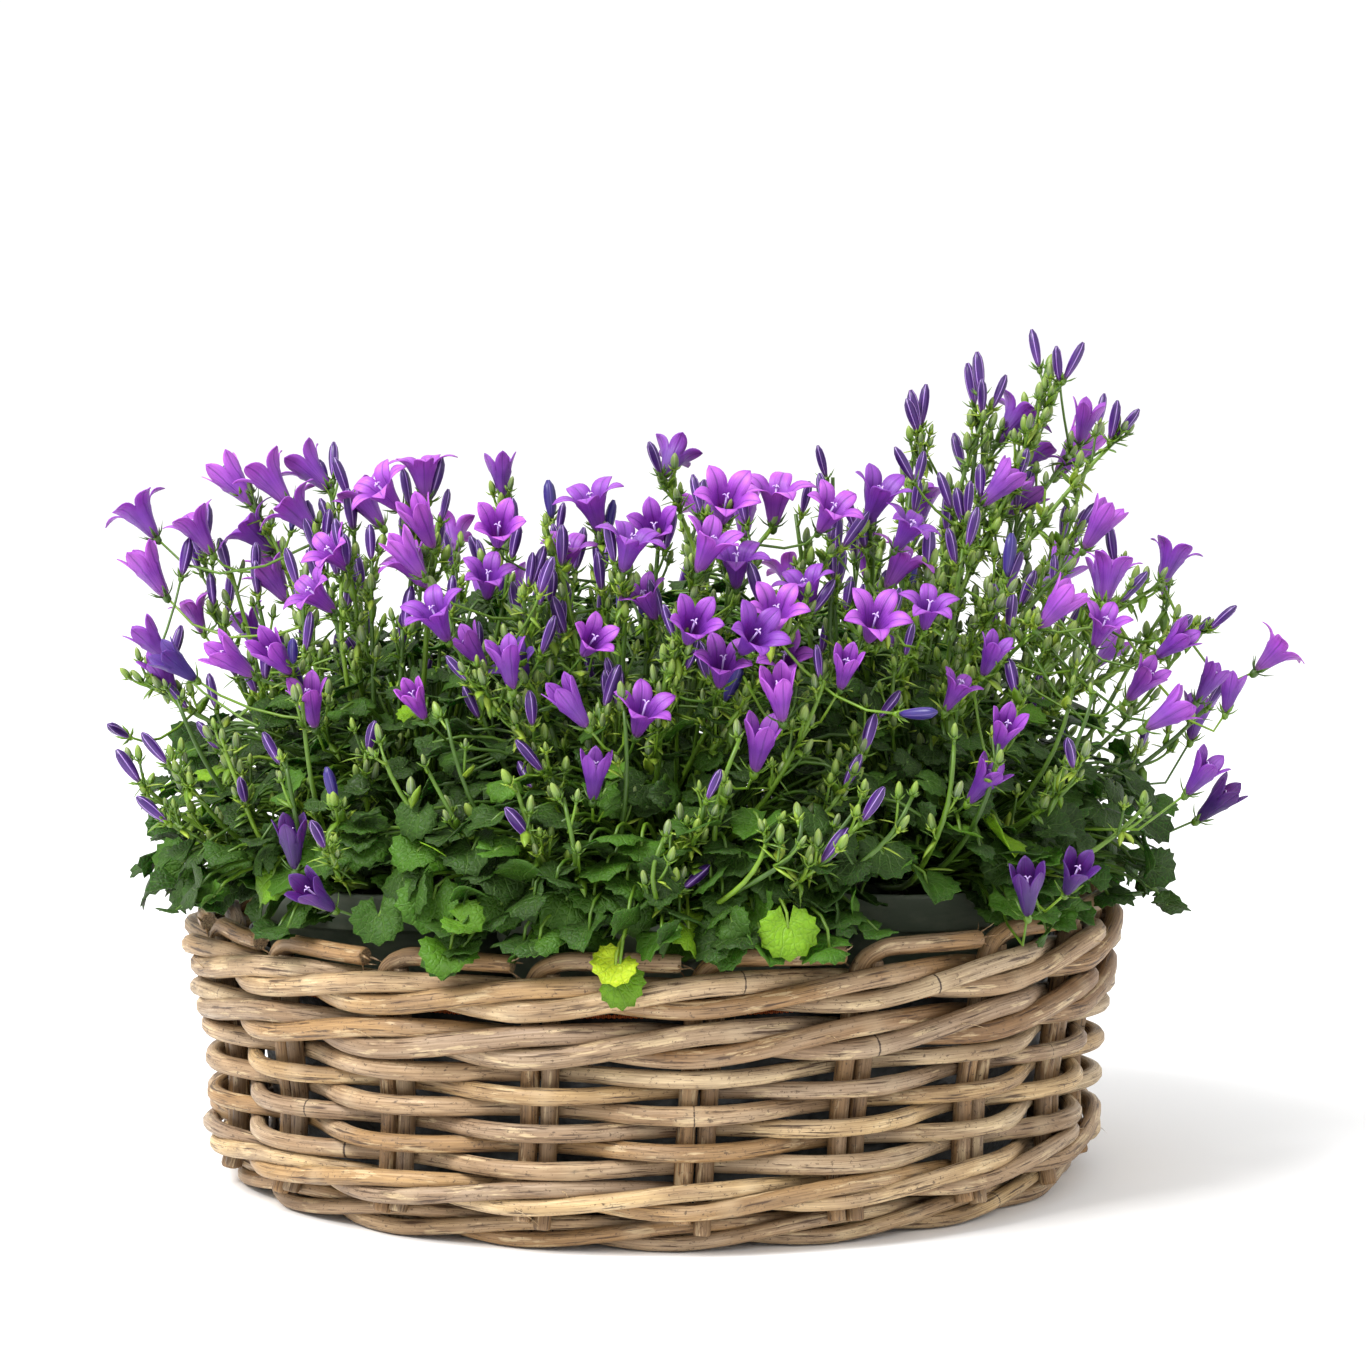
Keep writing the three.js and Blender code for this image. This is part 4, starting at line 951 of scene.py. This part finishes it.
def open_bells(skin, feet, direction, spin, size, opened, tone, wilt):
    """Open bells, each one sheet: a five-sided tube that flares, and five lobes that spread from its mouth.

    The tube's radius grows with the square of the way up. A lobe's middle line leaves the mouth outwards and
    bends back by how far the bell is open, and its half width swells and then closes to a point.
    """
    count = len(feet)
    length, radius, opened, spin = (
        value[:, None, None] for value in (BLOOM_LENGTH * size, BLOOM_RADIUS * size, opened, spin))
    lobe_step = LOBE_COLUMNS - 1
    columns = 5 * lobe_step
    angle = spin + TAU * np.arange(columns) / columns - TAU / 10
    way = np.linspace(0, 1, TUBE_ROWS)[:, None]
    girth = radius * (0.1 + 0.09 * (1 - (1 - way) ** 5) + 0.07 * way + (0.11 + 0.05 * opened) * way ** 2.4)
    girth = girth * (1 + 0.07 * way * np.cos(5 * (angle - spin)))
    tube = joined(girth * np.cos(angle), girth * np.sin(angle), 0.53 * length * way)

    mouth = radius * (0.37 + 0.05 * opened)
    share = (np.arange(1, LOBE_ROWS + 1) / LOBE_ROWS)[:, None]
    aside = np.linspace(-1, 1, LOBE_COLUMNS)
    inside = (1 - np.abs(aside)) * share * (1 - share)
    sag = mouth * (1 - np.cos(aside * TAU / 10)) * (1 - share) + 0.9 * inside
    out = mouth + radius * ((0.14 + 0.1 * opened) * share + 0.44 * opened * share ** 1.7) - sag
    up = length * (0.53 + 0.47 * share - 0.06 * opened * share - 0.24 * opened ** 1.5 * share ** 2.6)
    up = up + 1.4 * np.abs(aside) * share * (1 - share)
    half = mouth * math.sin(TAU / 10) * (1 + 1.25 * share) * np.maximum(1 - share ** 1.75, 0) ** 0.9 + 0.12
    out, side, up = out[:, None], (half * aside)[:, None], up[:, None]
    tip = spin[:, None] + (np.arange(5) * TAU / 5)[:, None, None]
    lobes = joined(out * np.cos(tip) - side * np.sin(tip), out * np.sin(tip) + side * np.cos(tip), up)
    local = np.concatenate([tube.reshape(count, -1, 3), lobes.reshape(count, -1, 3)], 1)

    tube_count = TUBE_ROWS * columns
    lobe = np.arange(5)[:, None]
    column = lobe * lobe_step + np.arange(lobe_step)
    low = tube_count - columns + column
    beside = tube_count - columns + (column + 1) % columns
    high = tube_count + lobe * LOBE_ROWS * LOBE_COLUMNS + np.arange(lobe_step)
    faces = copied([
        grid_faces(1, TUBE_ROWS, columns, True),
        np.arange(columns)[None, ::-1],
        grid_faces(5, LOBE_ROWS, LOBE_COLUMNS, False) + tube_count,
        np.stack([low, beside, high + 1, high], -1).reshape(-1, 4),
    ], count, local.shape[1])
    tube_edge = np.abs((np.arange(columns) / lobe_step % 1) * 2 - 1)
    reach = np.concatenate([np.repeat(np.linspace(0, 0.5, TUBE_ROWS), columns),
                            np.tile(np.repeat(0.5 + 0.5 * share.ravel(), LOBE_COLUMNS), 5)])
    edge = np.concatenate([np.tile(tube_edge, TUBE_ROWS), np.tile(np.abs(aside), 5 * LOBE_ROWS)])
    skin.add(placed(local, feet, direction), faces, reach=np.tile(reach, count), edge=np.tile(edge, count),
             tone=tone, wilt=wilt)


def whorl(skin, feet, direction, angle, out, rise, radii, flatness=1.0, **marks):
    """Rods that spread round an axis: each one's points lie so far out from it and rise so far along it."""
    side = round_axis(direction, angle)[:, :, None]
    path = feet[:, None, None] + out * side + rise * direction[:, None, None]
    reference = np.repeat(direction, angle.shape[1], 0)[:, None]
    rods(skin, path.reshape(-1, len(radii), 3), radii, 4, reference, flatness, **marks)


def calyxes(skin, feet, direction, spin, size, youth):
    """A small green cup under a bell or bud, and five narrow lobes that spread from it."""
    cup = np.array([-3.2, -2.2, -0.6, 0.6])[:, None]
    path = feet[:, None] + direction[:, None] * (cup * size[:, None, None])
    radii = np.array([0.7, 1.5, 1.7, 1.2]) * size[:, None]
    rods(skin, path, radii, 6, axes_of(direction)[0][:, None], youth=youth)
    scale = size[:, None, None, None]
    whorl(skin, feet, direction, spin[:, None] + TAU * (np.arange(5) + 0.5) / 5,
          scale * np.array([1.2, 3.4, 6.0])[:, None], scale * np.array([-0.4, 1.0, 3.8])[:, None],
          np.array([0.65, 0.8, 0.12]), 0.4, youth=np.repeat(youth, 5))


def styles(skin, feet, direction, size, spin):
    """A pale style in each throat, with three short branches that curl."""
    reach = np.array([0.1, 0.35, 0.58])[:, None] * BLOOM_LENGTH
    path = feet[:, None] + direction[:, None] * (reach * size[:, None, None])
    rods(skin, path, np.array([0.3, 0.34, 0.42]), 5, axes_of(direction)[0][:, None])
    whorl(skin, path[:, -1], direction, spin[:, None] + TAU * np.arange(3) / 3,
          np.array([0.0, 0.9, 1.6])[:, None], np.array([0.0, 1.2, 0.7])[:, None], np.array([0.35, 0.3, 0.2]))


def buds(skin, feet, direction, spin, length, width, youth, wilt):
    """Closed buds: a slender pleated body whose radius follows the root of a parabola, drawn to a point."""
    count = len(feet)
    way = np.linspace(0.02, 0.99, BUD_ROWS)
    ripe = (4 * way * (1 - way)) ** 0.42 * (0.72 + 0.42 * way)
    young = (4 * way * (1 - way)) ** 0.5 * (1.15 - 0.4 * way)
    girth = (ripe + (young - ripe) * youth[:, None])[..., None]
    way = way[:, None]
    turn = TAU * np.arange(BUD_COLUMNS) / BUD_COLUMNS
    angle = spin[:, None, None] + turn
    radius = width[:, None, None] * girth * (1 + 0.13 * np.cos(5 * turn) * np.sin(math.pi * way))
    local = joined(radius * np.cos(angle), radius * np.sin(angle), length[:, None, None] * way)
    around = joined(np.cos(turn), np.sin(turn), way + np.zeros((count, 1, 1)))
    skin.add(placed(local, feet, direction), tube_faces(count, BUD_ROWS, BUD_COLUMNS), around=around,
             reach=np.tile(np.repeat(way, BUD_COLUMNS), count), youth=youth, wilt=wilt)


def heart_leaves(skin, notch, forward, normal, size, youth, fold, cup, wave, phase):
    """Toothed kidney-shaped blades: round the notch, a radius that grows with the bearing's cosine.

    A sixth power of the cosine adds the tip, and the teeth draw every second point of the margin in. The
    blade folds up along its midrib, bows down towards its margin and waves with the bearing.
    """
    count = len(notch)
    span = np.linspace(-1, 1, LEAF_COLUMNS)
    bearing = span * math.radians(166)
    inner = 1.0 + 0.14 * np.cos(bearing) + 0.07 * np.maximum(np.cos(bearing), 0) ** 6
    margin = inner * np.where(np.arange(LEAF_COLUMNS) % 2 == 1, 0.875, 1.0)
    ring = LEAF_RINGS[:, None]
    outline = np.where(ring == 1, margin, inner * ring)
    across = 1.08 * outline * np.sin(bearing)
    along = 0.95 * outline * np.cos(bearing)
    fold, cup, wave, phase = (value[:, None, None] for value in (fold, cup, wave, phase))
    ripple = np.sin(bearing * 3 + phase) * ring ** 2
    up = fold * np.abs(across) - cup * (along ** 2 + across ** 2) + wave * ripple
    local = joined(across, along, up).reshape(count, -1, 3)
    local = np.concatenate([np.zeros((count, 1, 3)), local], 1) * (size * LEAF_RADIUS)[:, None, None]
    basis = np.stack([np.cross(forward, normal), forward, normal], 1)
    points = np.einsum("npi,nij->npj", local, basis) + notch[:, None]
    column = np.arange(LEAF_COLUMNS - 1)
    fan = np.stack([np.zeros_like(column), column + 2, column + 1], -1)
    quads = grid_faces(1, len(LEAF_RINGS), LEAF_COLUMNS, False) + 1
    reach = np.concatenate([[0], np.repeat(LEAF_RINGS, LEAF_COLUMNS)])
    spans = np.concatenate([[0], np.tile(span, len(LEAF_RINGS))])
    skin.add(points, copied([fan, quads], count, points.shape[1]), youth=youth, reach=np.tile(reach, count),
             span=np.tile(spans, count))


def narrow_leaves(skin, root, forward, normal, length, youth):
    """Narrow pointed leaves up the stems: flat rods that swell and close to a point."""
    way = np.array([0.0, 0.35, 0.7, 1.0])[:, None]
    length = length[:, None, None]
    path = root[:, None] + forward[:, None] * length * way - normal[:, None] * (0.18 * length * way ** 2)
    widths = 0.2 * length[..., 0] * np.array([0.25, 1.0, 0.75, 0.06])
    rods(skin, path, widths, 4, normal[:, None], 0.16, youth=youth)


# Foliage

def leaf_mass(random):
    """Places and youth of all leaves, and 1 for each that hangs over the rim. Their youth also holds painted
    shade and light: it is lower deep inside the mass and higher low down at the front.

    The others lie on shells of a low dome, at even turns and heights, except in the gaps between pots.
    """
    places = []
    for layer, count in LEAF_SHELLS:
        index = np.arange(count) + 0.5
        up = (index / count) ** 0.9
        turn = index * GOLDEN_TURN + random.uniform(-0.15, 0.15, count)
        level = np.sqrt(np.maximum(1 - up ** 2, 0))
        shell = layer * random.uniform(0.93, 1.05, count)
        unit_place = joined(level * np.sin(turn), -level * np.cos(turn), up)
        places.append(LEAF_CENTRE + LEAF_REACH * unit_place * shell[:, None])
    places = np.concatenate(places)
    from_pot = np.abs((np.arctan2(places[:, 0], -places[:, 1]) + TAU / 10) % (TAU / 5) - TAU / 10)
    wide = np.hypot(places[:, 0], places[:, 1]) > 150
    places = places[~((places[:, 2] < 142) & wide & (from_pot > math.radians(25)))]

    index = np.arange(FRINGE_LEAVES) + 0.5
    fringe = joined(-11 + 19.5 * ((index * 0.7549) % 1), 11.7 + 4.6 * ((index * 0.5698) % 1),
                    random.uniform(0.15, 0.6, FRINGE_LEAVES))
    across, height, rim_youth = np.concatenate([RIM_LEAVES, fringe]).T
    hung = dome_points(across * 10, np.maximum(height * 10, 121))
    hung[:, 2] = height * 10
    reach = np.where(height < 12.6, 1.0, 0.95) * RIM_REACH
    hung[:, :2] *= (reach / np.maximum(np.hypot(hung[:, 0], hung[:, 1]), RIM_REACH))[:, None]

    count = len(places)
    depth = np.linalg.norm((places - LEAF_CENTRE) / LEAF_REACH, axis=1)
    # Deeper leaves get a smaller youth and so a darker green: painted shade inside the leaf mass
    youth = 0.06 + random.beta(1.2, 2.8, count) * 0.66 * np.clip(depth * 2 - 0.8, 0.45, 1.0)
    # Leaves low down at the front get a larger youth and so a brighter green: painted light
    front = smooth((160 - places[:, 2]) / 45) * smooth((-places[:, 1] - 60) / 80)
    youth += 0.28 * front * random.uniform(0, 1, count)
    youth = np.where(random.uniform(0, 1, count) < 0.03, 0.85, youth)
    hanging = np.concatenate([np.zeros(count), np.ones(len(hung))])
    return np.concatenate([places, hung]), np.concatenate([youth, rim_youth]), hanging


def foliage(leaf, green):
    """The leaves of each pot on long stalks that rise from its crown and bend outwards."""
    random = np.random.default_rng(41)
    places, youth, hanging = leaf_mass(random)
    count = len(places)
    owner = nearest_pot(places)
    outward = unit((places - LEAF_AIM) / LEAF_REACH ** 1.2)
    jitter = random.normal(0, 1, (count, 3))
    low = smooth((185 - places[:, 2]) / 50)
    normal = unit(outward * 0.5 + UP * 0.8 + (0.34 + 0.14 * low[:, None]) * jitter)
    wish = outward * 0.6 - UP * (0.55 + 0.8 * hanging[:, None]) + 0.5 * random.normal(0, 1, (count, 3))
    forward = unit(wish - normal * (wish * normal).sum(1, keepdims=True))
    size = random.uniform(0.38, 0.64, count) + low * random.uniform(0.04, 0.22, count) + 0.12 * hanging
    notch = places - forward * (LEAF_RADIUS * 0.6 * size)[:, None]
    for index, place in enumerate(PLACES):
        own = owner == index
        total = own.sum()
        blades = Skin()
        heart_leaves(blades, notch[own], forward[own], normal[own], size[own], youth[own],
                     *[random.uniform(least, most, total) for least, most in LEAF_FORM])
        blades.piece(f"leaf_blades_{place}", leaf, [f"foliage_{place}"], 0.4)

        crown = pot_centre(index) + CROWN_ASIDE
        ends = notch[own]
        roots = crown_roots(crown, ends)
        over = 0.5 + 0.32 * low[own] + 0.2 * hanging[own]
        bends = roots + (ends - roots) * over[:, None]
        bends[:, 2] = np.maximum(roots[:, 2], ends[:, 2]) + random.uniform(2, 22, total) + 8 * low[own]
        path = curves(np.stack([roots, bends, ends], 1), 9)
        stalks = Skin()
        # Stalks follow their leaf's youth, so their green carries the same painted shade and painted light
        fresh = np.minimum(0.3 + 0.6 * youth[own], 0.9)
        rods(stalks, path, np.linspace(0.95, 0.62, 9), 5, across_of(path), youth=fresh)
        crown_knob(stalks, crown)
        stalks.piece(f"leaf_stalks_{place}", green)


# Flowering stems

class Sprays:
    """Everything that the flowering stems of one pot carry, gathered before it is made."""

    def __init__(self, index):
        self.crown = pot_centre(index) - CROWN_ASIDE
        self.stems = []
        self.stalks = []
        self.bells = []
        self.buds = []
        self.leaves = []


def stem_groups(centre, places):
    """A pot's blooms in groups of four by bearing, the highest first."""
    bearing = np.arctan2(places[:, 1] - centre[1], places[:, 0] - centre[0])
    ordered = places[np.argsort(bearing, kind="stable")]
    groups = [ordered[start:start + BLOOMS_PER_STEM] for start in range(0, len(ordered), BLOOMS_PER_STEM)]
    return [group[np.argsort(-group[:, 2], kind="stable")] for group in groups]


def bell_places(group, draw, taken):
    """Settled feet, directions, spins and sizes of the blooms of one stem.

    A bloom faces away from the dome's middle and up, and is drawn back in small steps while it is too near
    to another one.
    """
    found = []
    for place in group:
        outward = (place - DOME_CENTRE) * (1, 1, 0)
        direction = 0.5 * unit(outward)
        direction[2] = 0.45 + 0.65 * next(draw)
        direction[0] += 0.8 * (next(draw) - 0.5)
        direction[1] += 0.7 * (next(draw) - 0.5)
        direction = unit(direction)
        spin = next(draw) * TAU / 5
        size = 0.85 + 0.3 * next(draw)
        steps = place + unit(DOME_CENTRE - place) * 6 * np.arange(7)[:, None]
        middles = steps + direction * BLOOM_LENGTH * 0.6
        crowding = np.array([
            min([np.linalg.norm(middle - other) for other in taken], default=99) for middle in middles])
        step = int(np.argmax(crowding > BLOOM_CLEARANCE))
        taken.append(middles[step])
        found.append((steps[step], direction, spin, size))
    return found


def upper_side(ahead):
    """The direction across a leaf's own that faces up."""
    return unit(np.cross(np.cross(ahead, UP), ahead))


def station_below(stations, foot):
    """The station of the stems that is nearest to a point a little below a foot."""
    return stations[np.linalg.norm(stations - foot + UP * 18, axis=1).argmin()]


def carry_bud(sprays, start, end, ripe, random, length=None):
    """A stalk that leaves a stem and turns up to a bud's foot, and the bud that goes on from it."""
    far = np.linalg.norm(end - start)
    ahead = unit((end - start) / far + UP * 0.55)
    sprays.stalks.append((start, end - ahead * 0.45 * far, end))
    size = length or BUD_LENGTH * (random.uniform(0.82, 1.12) if ripe else random.uniform(0.24, 0.48))
    sprays.buds.append((end, ahead, random.uniform(0, TAU), size, 0.0 if ripe else random.uniform(0.7, 1)))


def dress_stem(sprays, bow, random, ripe_share, shoots, low=0.42):
    """Side shoots up a stem: each a short stalk with a bud, and two narrow leaves where it leaves the stem.

    The ripe buds are nearer to the stem's top, and the shoots shorten towards it.
    """
    share = low + (0.99 - low) * np.sort(random.uniform(0, 1, shoots)) ** 0.8
    points = bezier(*bow, share)
    ahead = unit(bezier(*bow, share + 0.01) - points)
    turn = np.arange(shoots) * 2.4 + random.uniform(0, TAU)
    out = round_axis(ahead + (1e-4, 0, 0), turn[:, None])[:, 0]
    length = random.uniform(5, 17, shoots) * (1.3 - 0.6 * share)
    ends = points + unit(out * 0.5 + ahead * 0.8 + UP * 0.45) * length[:, None]
    ripe = random.uniform(0, 1, shoots) < ripe_share * 2 * share ** 2
    for start, end, side, is_ripe in zip(points, ends, out, ripe):
        carry_bud(sprays, start, end, is_ripe, random)
        for _ in range(2):
            ahead = unit(side + random.normal(0, 0.7, 3) + UP * 0.3)
            sprays.leaves.append((start, ahead, upper_side(ahead), random.uniform(5, 11)))
    for start in bezier(*bow, random.uniform(0.18, 0.55, 3)):
        ahead = unit(np.array([random.normal(), random.normal(), 0.2]))
        sprays.leaves.append((start, ahead, upper_side(ahead), random.uniform(10, 17)))


def blooming_sprays(index, places, taken, random):
    """One pot's stems with their blooms, drawn as the frame draws them, and the stations of its stems."""
    sprays = Sprays(index)
    draw = drawn_numbers(101 + round(pot_centre(index)[0]))
    shares = np.arange(STEM_STATIONS // 3, STEM_STATIONS + 1) / STEM_STATIONS
    stations = []
    for group in stem_groups(pot_centre(index), places):
        tip = group[0]
        root = crown_roots(sprays.crown, tip)
        bow = (root, root + (tip - root) * (0.45, 0.45, 0.72), tip)
        own = bezier(*bow, shares)
        stations.append(own)
        sprays.stems.append(bow)
        for rank, bell in enumerate(bell_places(group, draw, taken)):
            foot, direction = bell[:2]
            start = station_below(own, foot) if rank else bezier(*bow, 0.96)
            sprays.stalks.append((start, foot - direction * 0.45 * np.linalg.norm(foot - start), foot))
            sprays.bells.append(bell)
        start = bezier(*bow, 0.55 + 0.4 * next(draw))
        lean = unit(np.array([next(draw) - 0.5, next(draw) - 0.5, 0.8]))
        carry_bud(sprays, start, start + lean * 12, True, random, BUD_LENGTH)
        dress_stem(sprays, bow, random, 0.07, 11)
    return sprays, np.concatenate(stations)


def add_budded_stem(sprays, tip, random, ripe_share, shoots, lean=(0.75, 0.95, 0.4), ripe=True):
    """A thinner stem that bows outwards, rises to a bud and carries more buds."""
    root = crown_roots(sprays.crown, tip)
    foot = tip - UP * 12
    bow = (root, root + (foot - root) * (lean + UP * random.uniform(-0.1, 0.1)), foot)
    sprays.stems.append(bow)
    start = bezier(*bow, 0.97)
    carry_bud(sprays, start, foot + np.array([*random.uniform(-3, 3, 2), 0]), ripe, random)
    dress_stem(sprays, bow, random, ripe_share, shoots, 0.5)


def back_tips(random):
    """Tips of buds on the far side of the dome."""
    turn = random.uniform(-0.2, math.pi + 0.2, BACK_STEMS)
    up = random.uniform(0.25, 0.86, BACK_STEMS)
    level = np.sqrt(1 - up ** 2) * random.uniform(0.55, 0.95, BACK_STEMS)
    return DOME_CENTRE + DOME_REACH * joined(level * np.cos(turn), level * np.sin(turn), up * 0.9)


def gather_sprays():
    """The stems of every pot with their blooms, and the budded stems between them."""
    random = np.random.default_rng(7)
    places = bloom_places()
    owner = nearest_pot(places)
    taken = []
    gathered, stations = zip(*[
        blooming_sprays(index, places[owner == index], taken, random) for index in range(5)])
    tall = on_dome(TALL_BUDS)
    for index, foot in zip(nearest_pot(tall), tall):
        carry_bud(gathered[index], station_below(stations[index], foot), foot, True, random, BUD_LENGTH)
    tips = on_dome(FRONT_BUDS)
    tips[:, 1] += random.uniform(-4, 55, len(tips))
    for index, tip in zip(nearest_pot(tips), tips):
        add_budded_stem(gathered[index], tip, random, 0.12 if tip[2] > 230 else 0.0, 7)
    tips = back_tips(random)
    for number, (index, tip) in enumerate(zip(nearest_pot(tips), tips)):
        add_budded_stem(gathered[index], tip, random, 0.06, 8, ripe=number % 3 > 0)
        if number % 6 == 0 and tip[2] < 250:
            ahead = unit(random.normal(0, 0.5, 3) + UP)
            gathered[index].bells.append((tip, ahead, random.uniform(0, TAU), random.uniform(0.85, 1.1)))
    tips = on_dome(RACEMES)
    for index, tip in zip(nearest_pot(tips), tips):
        add_budded_stem(gathered[index], tip, random, 0.03, 25, (0.35, 0.8, 0.6))
    across = np.linspace(-200, 195, BARE_STEMS) + random.uniform(-8, 8, BARE_STEMS)
    tips = dome_points(across, random.uniform(172, 228, BARE_STEMS))
    tips[:, 1] += random.uniform(2, 14, BARE_STEMS)
    for index, tip in zip(nearest_pot(tips), tips):
        add_budded_stem(gathered[index], tip, random, 0.0, 2, (0.75, 1.24, 0.16), False)
    return gathered


def columns_of(rows):
    """The columns of a table of rows, each as one array."""
    return [np.array(column) for column in zip(*rows)]


def flowering_stems(petal, bud, green, pale):
    """The stems, stalks, bells, buds and small leaves of each pot, as one piece for each kind of surface."""
    random = np.random.default_rng(19)
    for place, sprays in zip(PLACES, gather_sprays()):
        stems = Skin()
        path = curves(sprays.stems, 15)
        wave = np.sin(np.linspace(0, 1, 15) * math.pi * 3)[:, None]
        path[:, :, :2] += random.normal(0, 1, (len(path), 1, 2)) * wave * 1.2
        fresh = random.uniform(0.25, 0.8, len(path))
        rods(stems, path, np.linspace(1.45, 0.8, 15), 6, across_of(path), youth=fresh)
        path = curves(sprays.stalks, 5)
        fresh = random.uniform(0.35, 0.8, len(path))
        rods(stems, path, np.linspace(0.62, 0.5, 5), 5, across_of(path), youth=fresh)
        crown_knob(stems, sprays.crown)

        feet, direction, spin, size = columns_of(sprays.bells)
        count = len(feet)
        lift = smooth((feet[:, 2] - 145) / 40)
        high = smooth((feet[:, 2] - 195) / 45)
        half_open = random.uniform(0, 1, count) < 0.98 - 0.3 * high - 0.4 * lift
        opened = np.where(half_open, random.uniform(0.05, 0.35, count), random.uniform(0.55, 1.15, count))
        # Bells low down get a smaller tone and so a darker violet: painted shade, on top of a random tone
        tone = random.uniform(0.3, 1, count) * lift
        bells = Skin()
        open_bells(bells, feet, direction, spin, size * (0.82 + 0.11 * high), opened, tone,
                   (random.uniform(0, 1, count) < 0.04) * 0.8)
        bells.piece(f"bells_{place}", petal, [f"flowers_{place}"], 0.35)
        pistils = Skin()
        styles(pistils, feet, direction, size, spin)
        pistils.piece(f"styles_{place}", pale)

        foot, ahead, turn, length, youth = columns_of(sprays.buds)
        width = length * BUD_RADIUS / BUD_LENGTH * random.uniform(0.9, 1.15, len(foot)) * (1 + 0.75 * youth)
        wilt = (random.uniform(0, 1, len(foot)) < 0.06) * (youth == 0) * 0.8
        closed = Skin()
        buds(closed, foot, ahead, turn, length, width, youth, wilt)
        closed.piece(f"buds_{place}", bud)

        calyxes(stems, feet, direction, spin, size, random.uniform(0.3, 0.7, count))
        cup_size = 0.35 + 0.4 * length / BUD_LENGTH
        calyxes(stems, foot, ahead, turn, cup_size, random.uniform(0.5, 0.9, len(foot)))
        stems.piece(f"stems_{place}", green)

        small = Skin()
        narrow_leaves(small, *columns_of(sprays.leaves), random.uniform(0.45, 1.0, len(sprays.leaves)))
        small.piece(f"stem_leaves_{place}", green)


# The whole object

def build_basket():
    random = np.random.default_rng(3)
    weaver = cane_finish("rattan_weavers", [
        (130, 98, 64), (166, 134, 92), (200, 174, 130), (176, 150, 118), (148, 127, 106), (206, 186, 150),
    ])
    upright = cane_finish("rattan_stakes", [(160, 126, 84), (146, 116, 80), (104, 84, 60)])
    for name in ROW_ORDER:
        if name in WALES:
            for strand in range(3):
                woven_strand(f"{name}_strand_{strand + 1}", strand, random, weaver)
        else:
            woven_strand(name, int(name[-1]), random, weaver)
    for number in range(STAKES):
        stake_pair(number, random, upright)
    basket_base(weaver)
    plastic_liner(liner_finish())
    liner_stitching(thread_finish())


def build_pots():
    random = np.random.default_rng(5)
    pot = pot_finish()
    soil = soil_finish()
    for index in range(5):
        nursery_pot(index, pot)
        potting_soil(index, random, soil)


def build_plants():
    green = stem_finish()
    foliage(leaf_finish(), green)
    flowering_stems(petal_finish(), bud_finish(), green, style_finish())


# Floor, light and camera

def build_stage():
    """A pale floor, a bright even sky, a large soft lamp at the upper left and a weak one at the right."""
    mesh = bpy.data.meshes.new("floor")
    mesh.from_pydata([(-6, -6, 0), (6, -6, 0), (6, 9, 0), (-6, 9, 0)], [], [(0, 1, 2, 3)])
    floor = linked("floor", mesh)
    pale = Finish("floor_pale", Roughness=0.85, Specular_IOR_Level=0.1)
    mesh.materials.append(pale.done(pale.ramp(pale.noise(pale.place(), 3.0), (0.3, 0.96), (0.7, 0.975))))
    world = bpy.data.worlds.new("studio")
    world.use_nodes = True
    sky = world.node_tree.nodes["Background"]
    sky.inputs[0].default_value = (1, 1, 1, 1)
    sky.inputs[1].default_value = 1.06
    bpy.context.scene.world = world
    for name, power, size, place in (
        ("key_lamp", 84, 1.1, (-1.2, -1.0, 2.0)),
        ("side_lamp", 6, 1.6, (1.9, -1.4, 0.9)),
    ):
        light = bpy.data.lights.new(name, "AREA")
        light.energy = power
        light.size = size
        lamp = linked(name, light)
        lamp.location = place
        lamp.rotation_mode = "QUATERNION"
        lamp.rotation_quaternion = (Vector((0, 0, 0.14)) - Vector(place)).to_track_quat("-Z", "Y")
    bpy.context.scene.view_settings.view_transform = "Standard"


def build_camera():
    """The photograph's viewpoint: 2.07 m in front, 0.43 m up, 6.45 degrees down, through a long lens."""
    camera = bpy.data.cameras.new("camera")
    camera.lens = 136.4
    camera.sensor_width = 36
    seat = linked("camera", camera)
    seat.location = (0.0124, -2.07, 0.43)
    seat.rotation_euler = (math.radians(90 - 6.45), 0, 0)
    bpy.context.scene.camera = seat


build_camera()
build_stage()
build_basket()
build_pots()
build_plants()
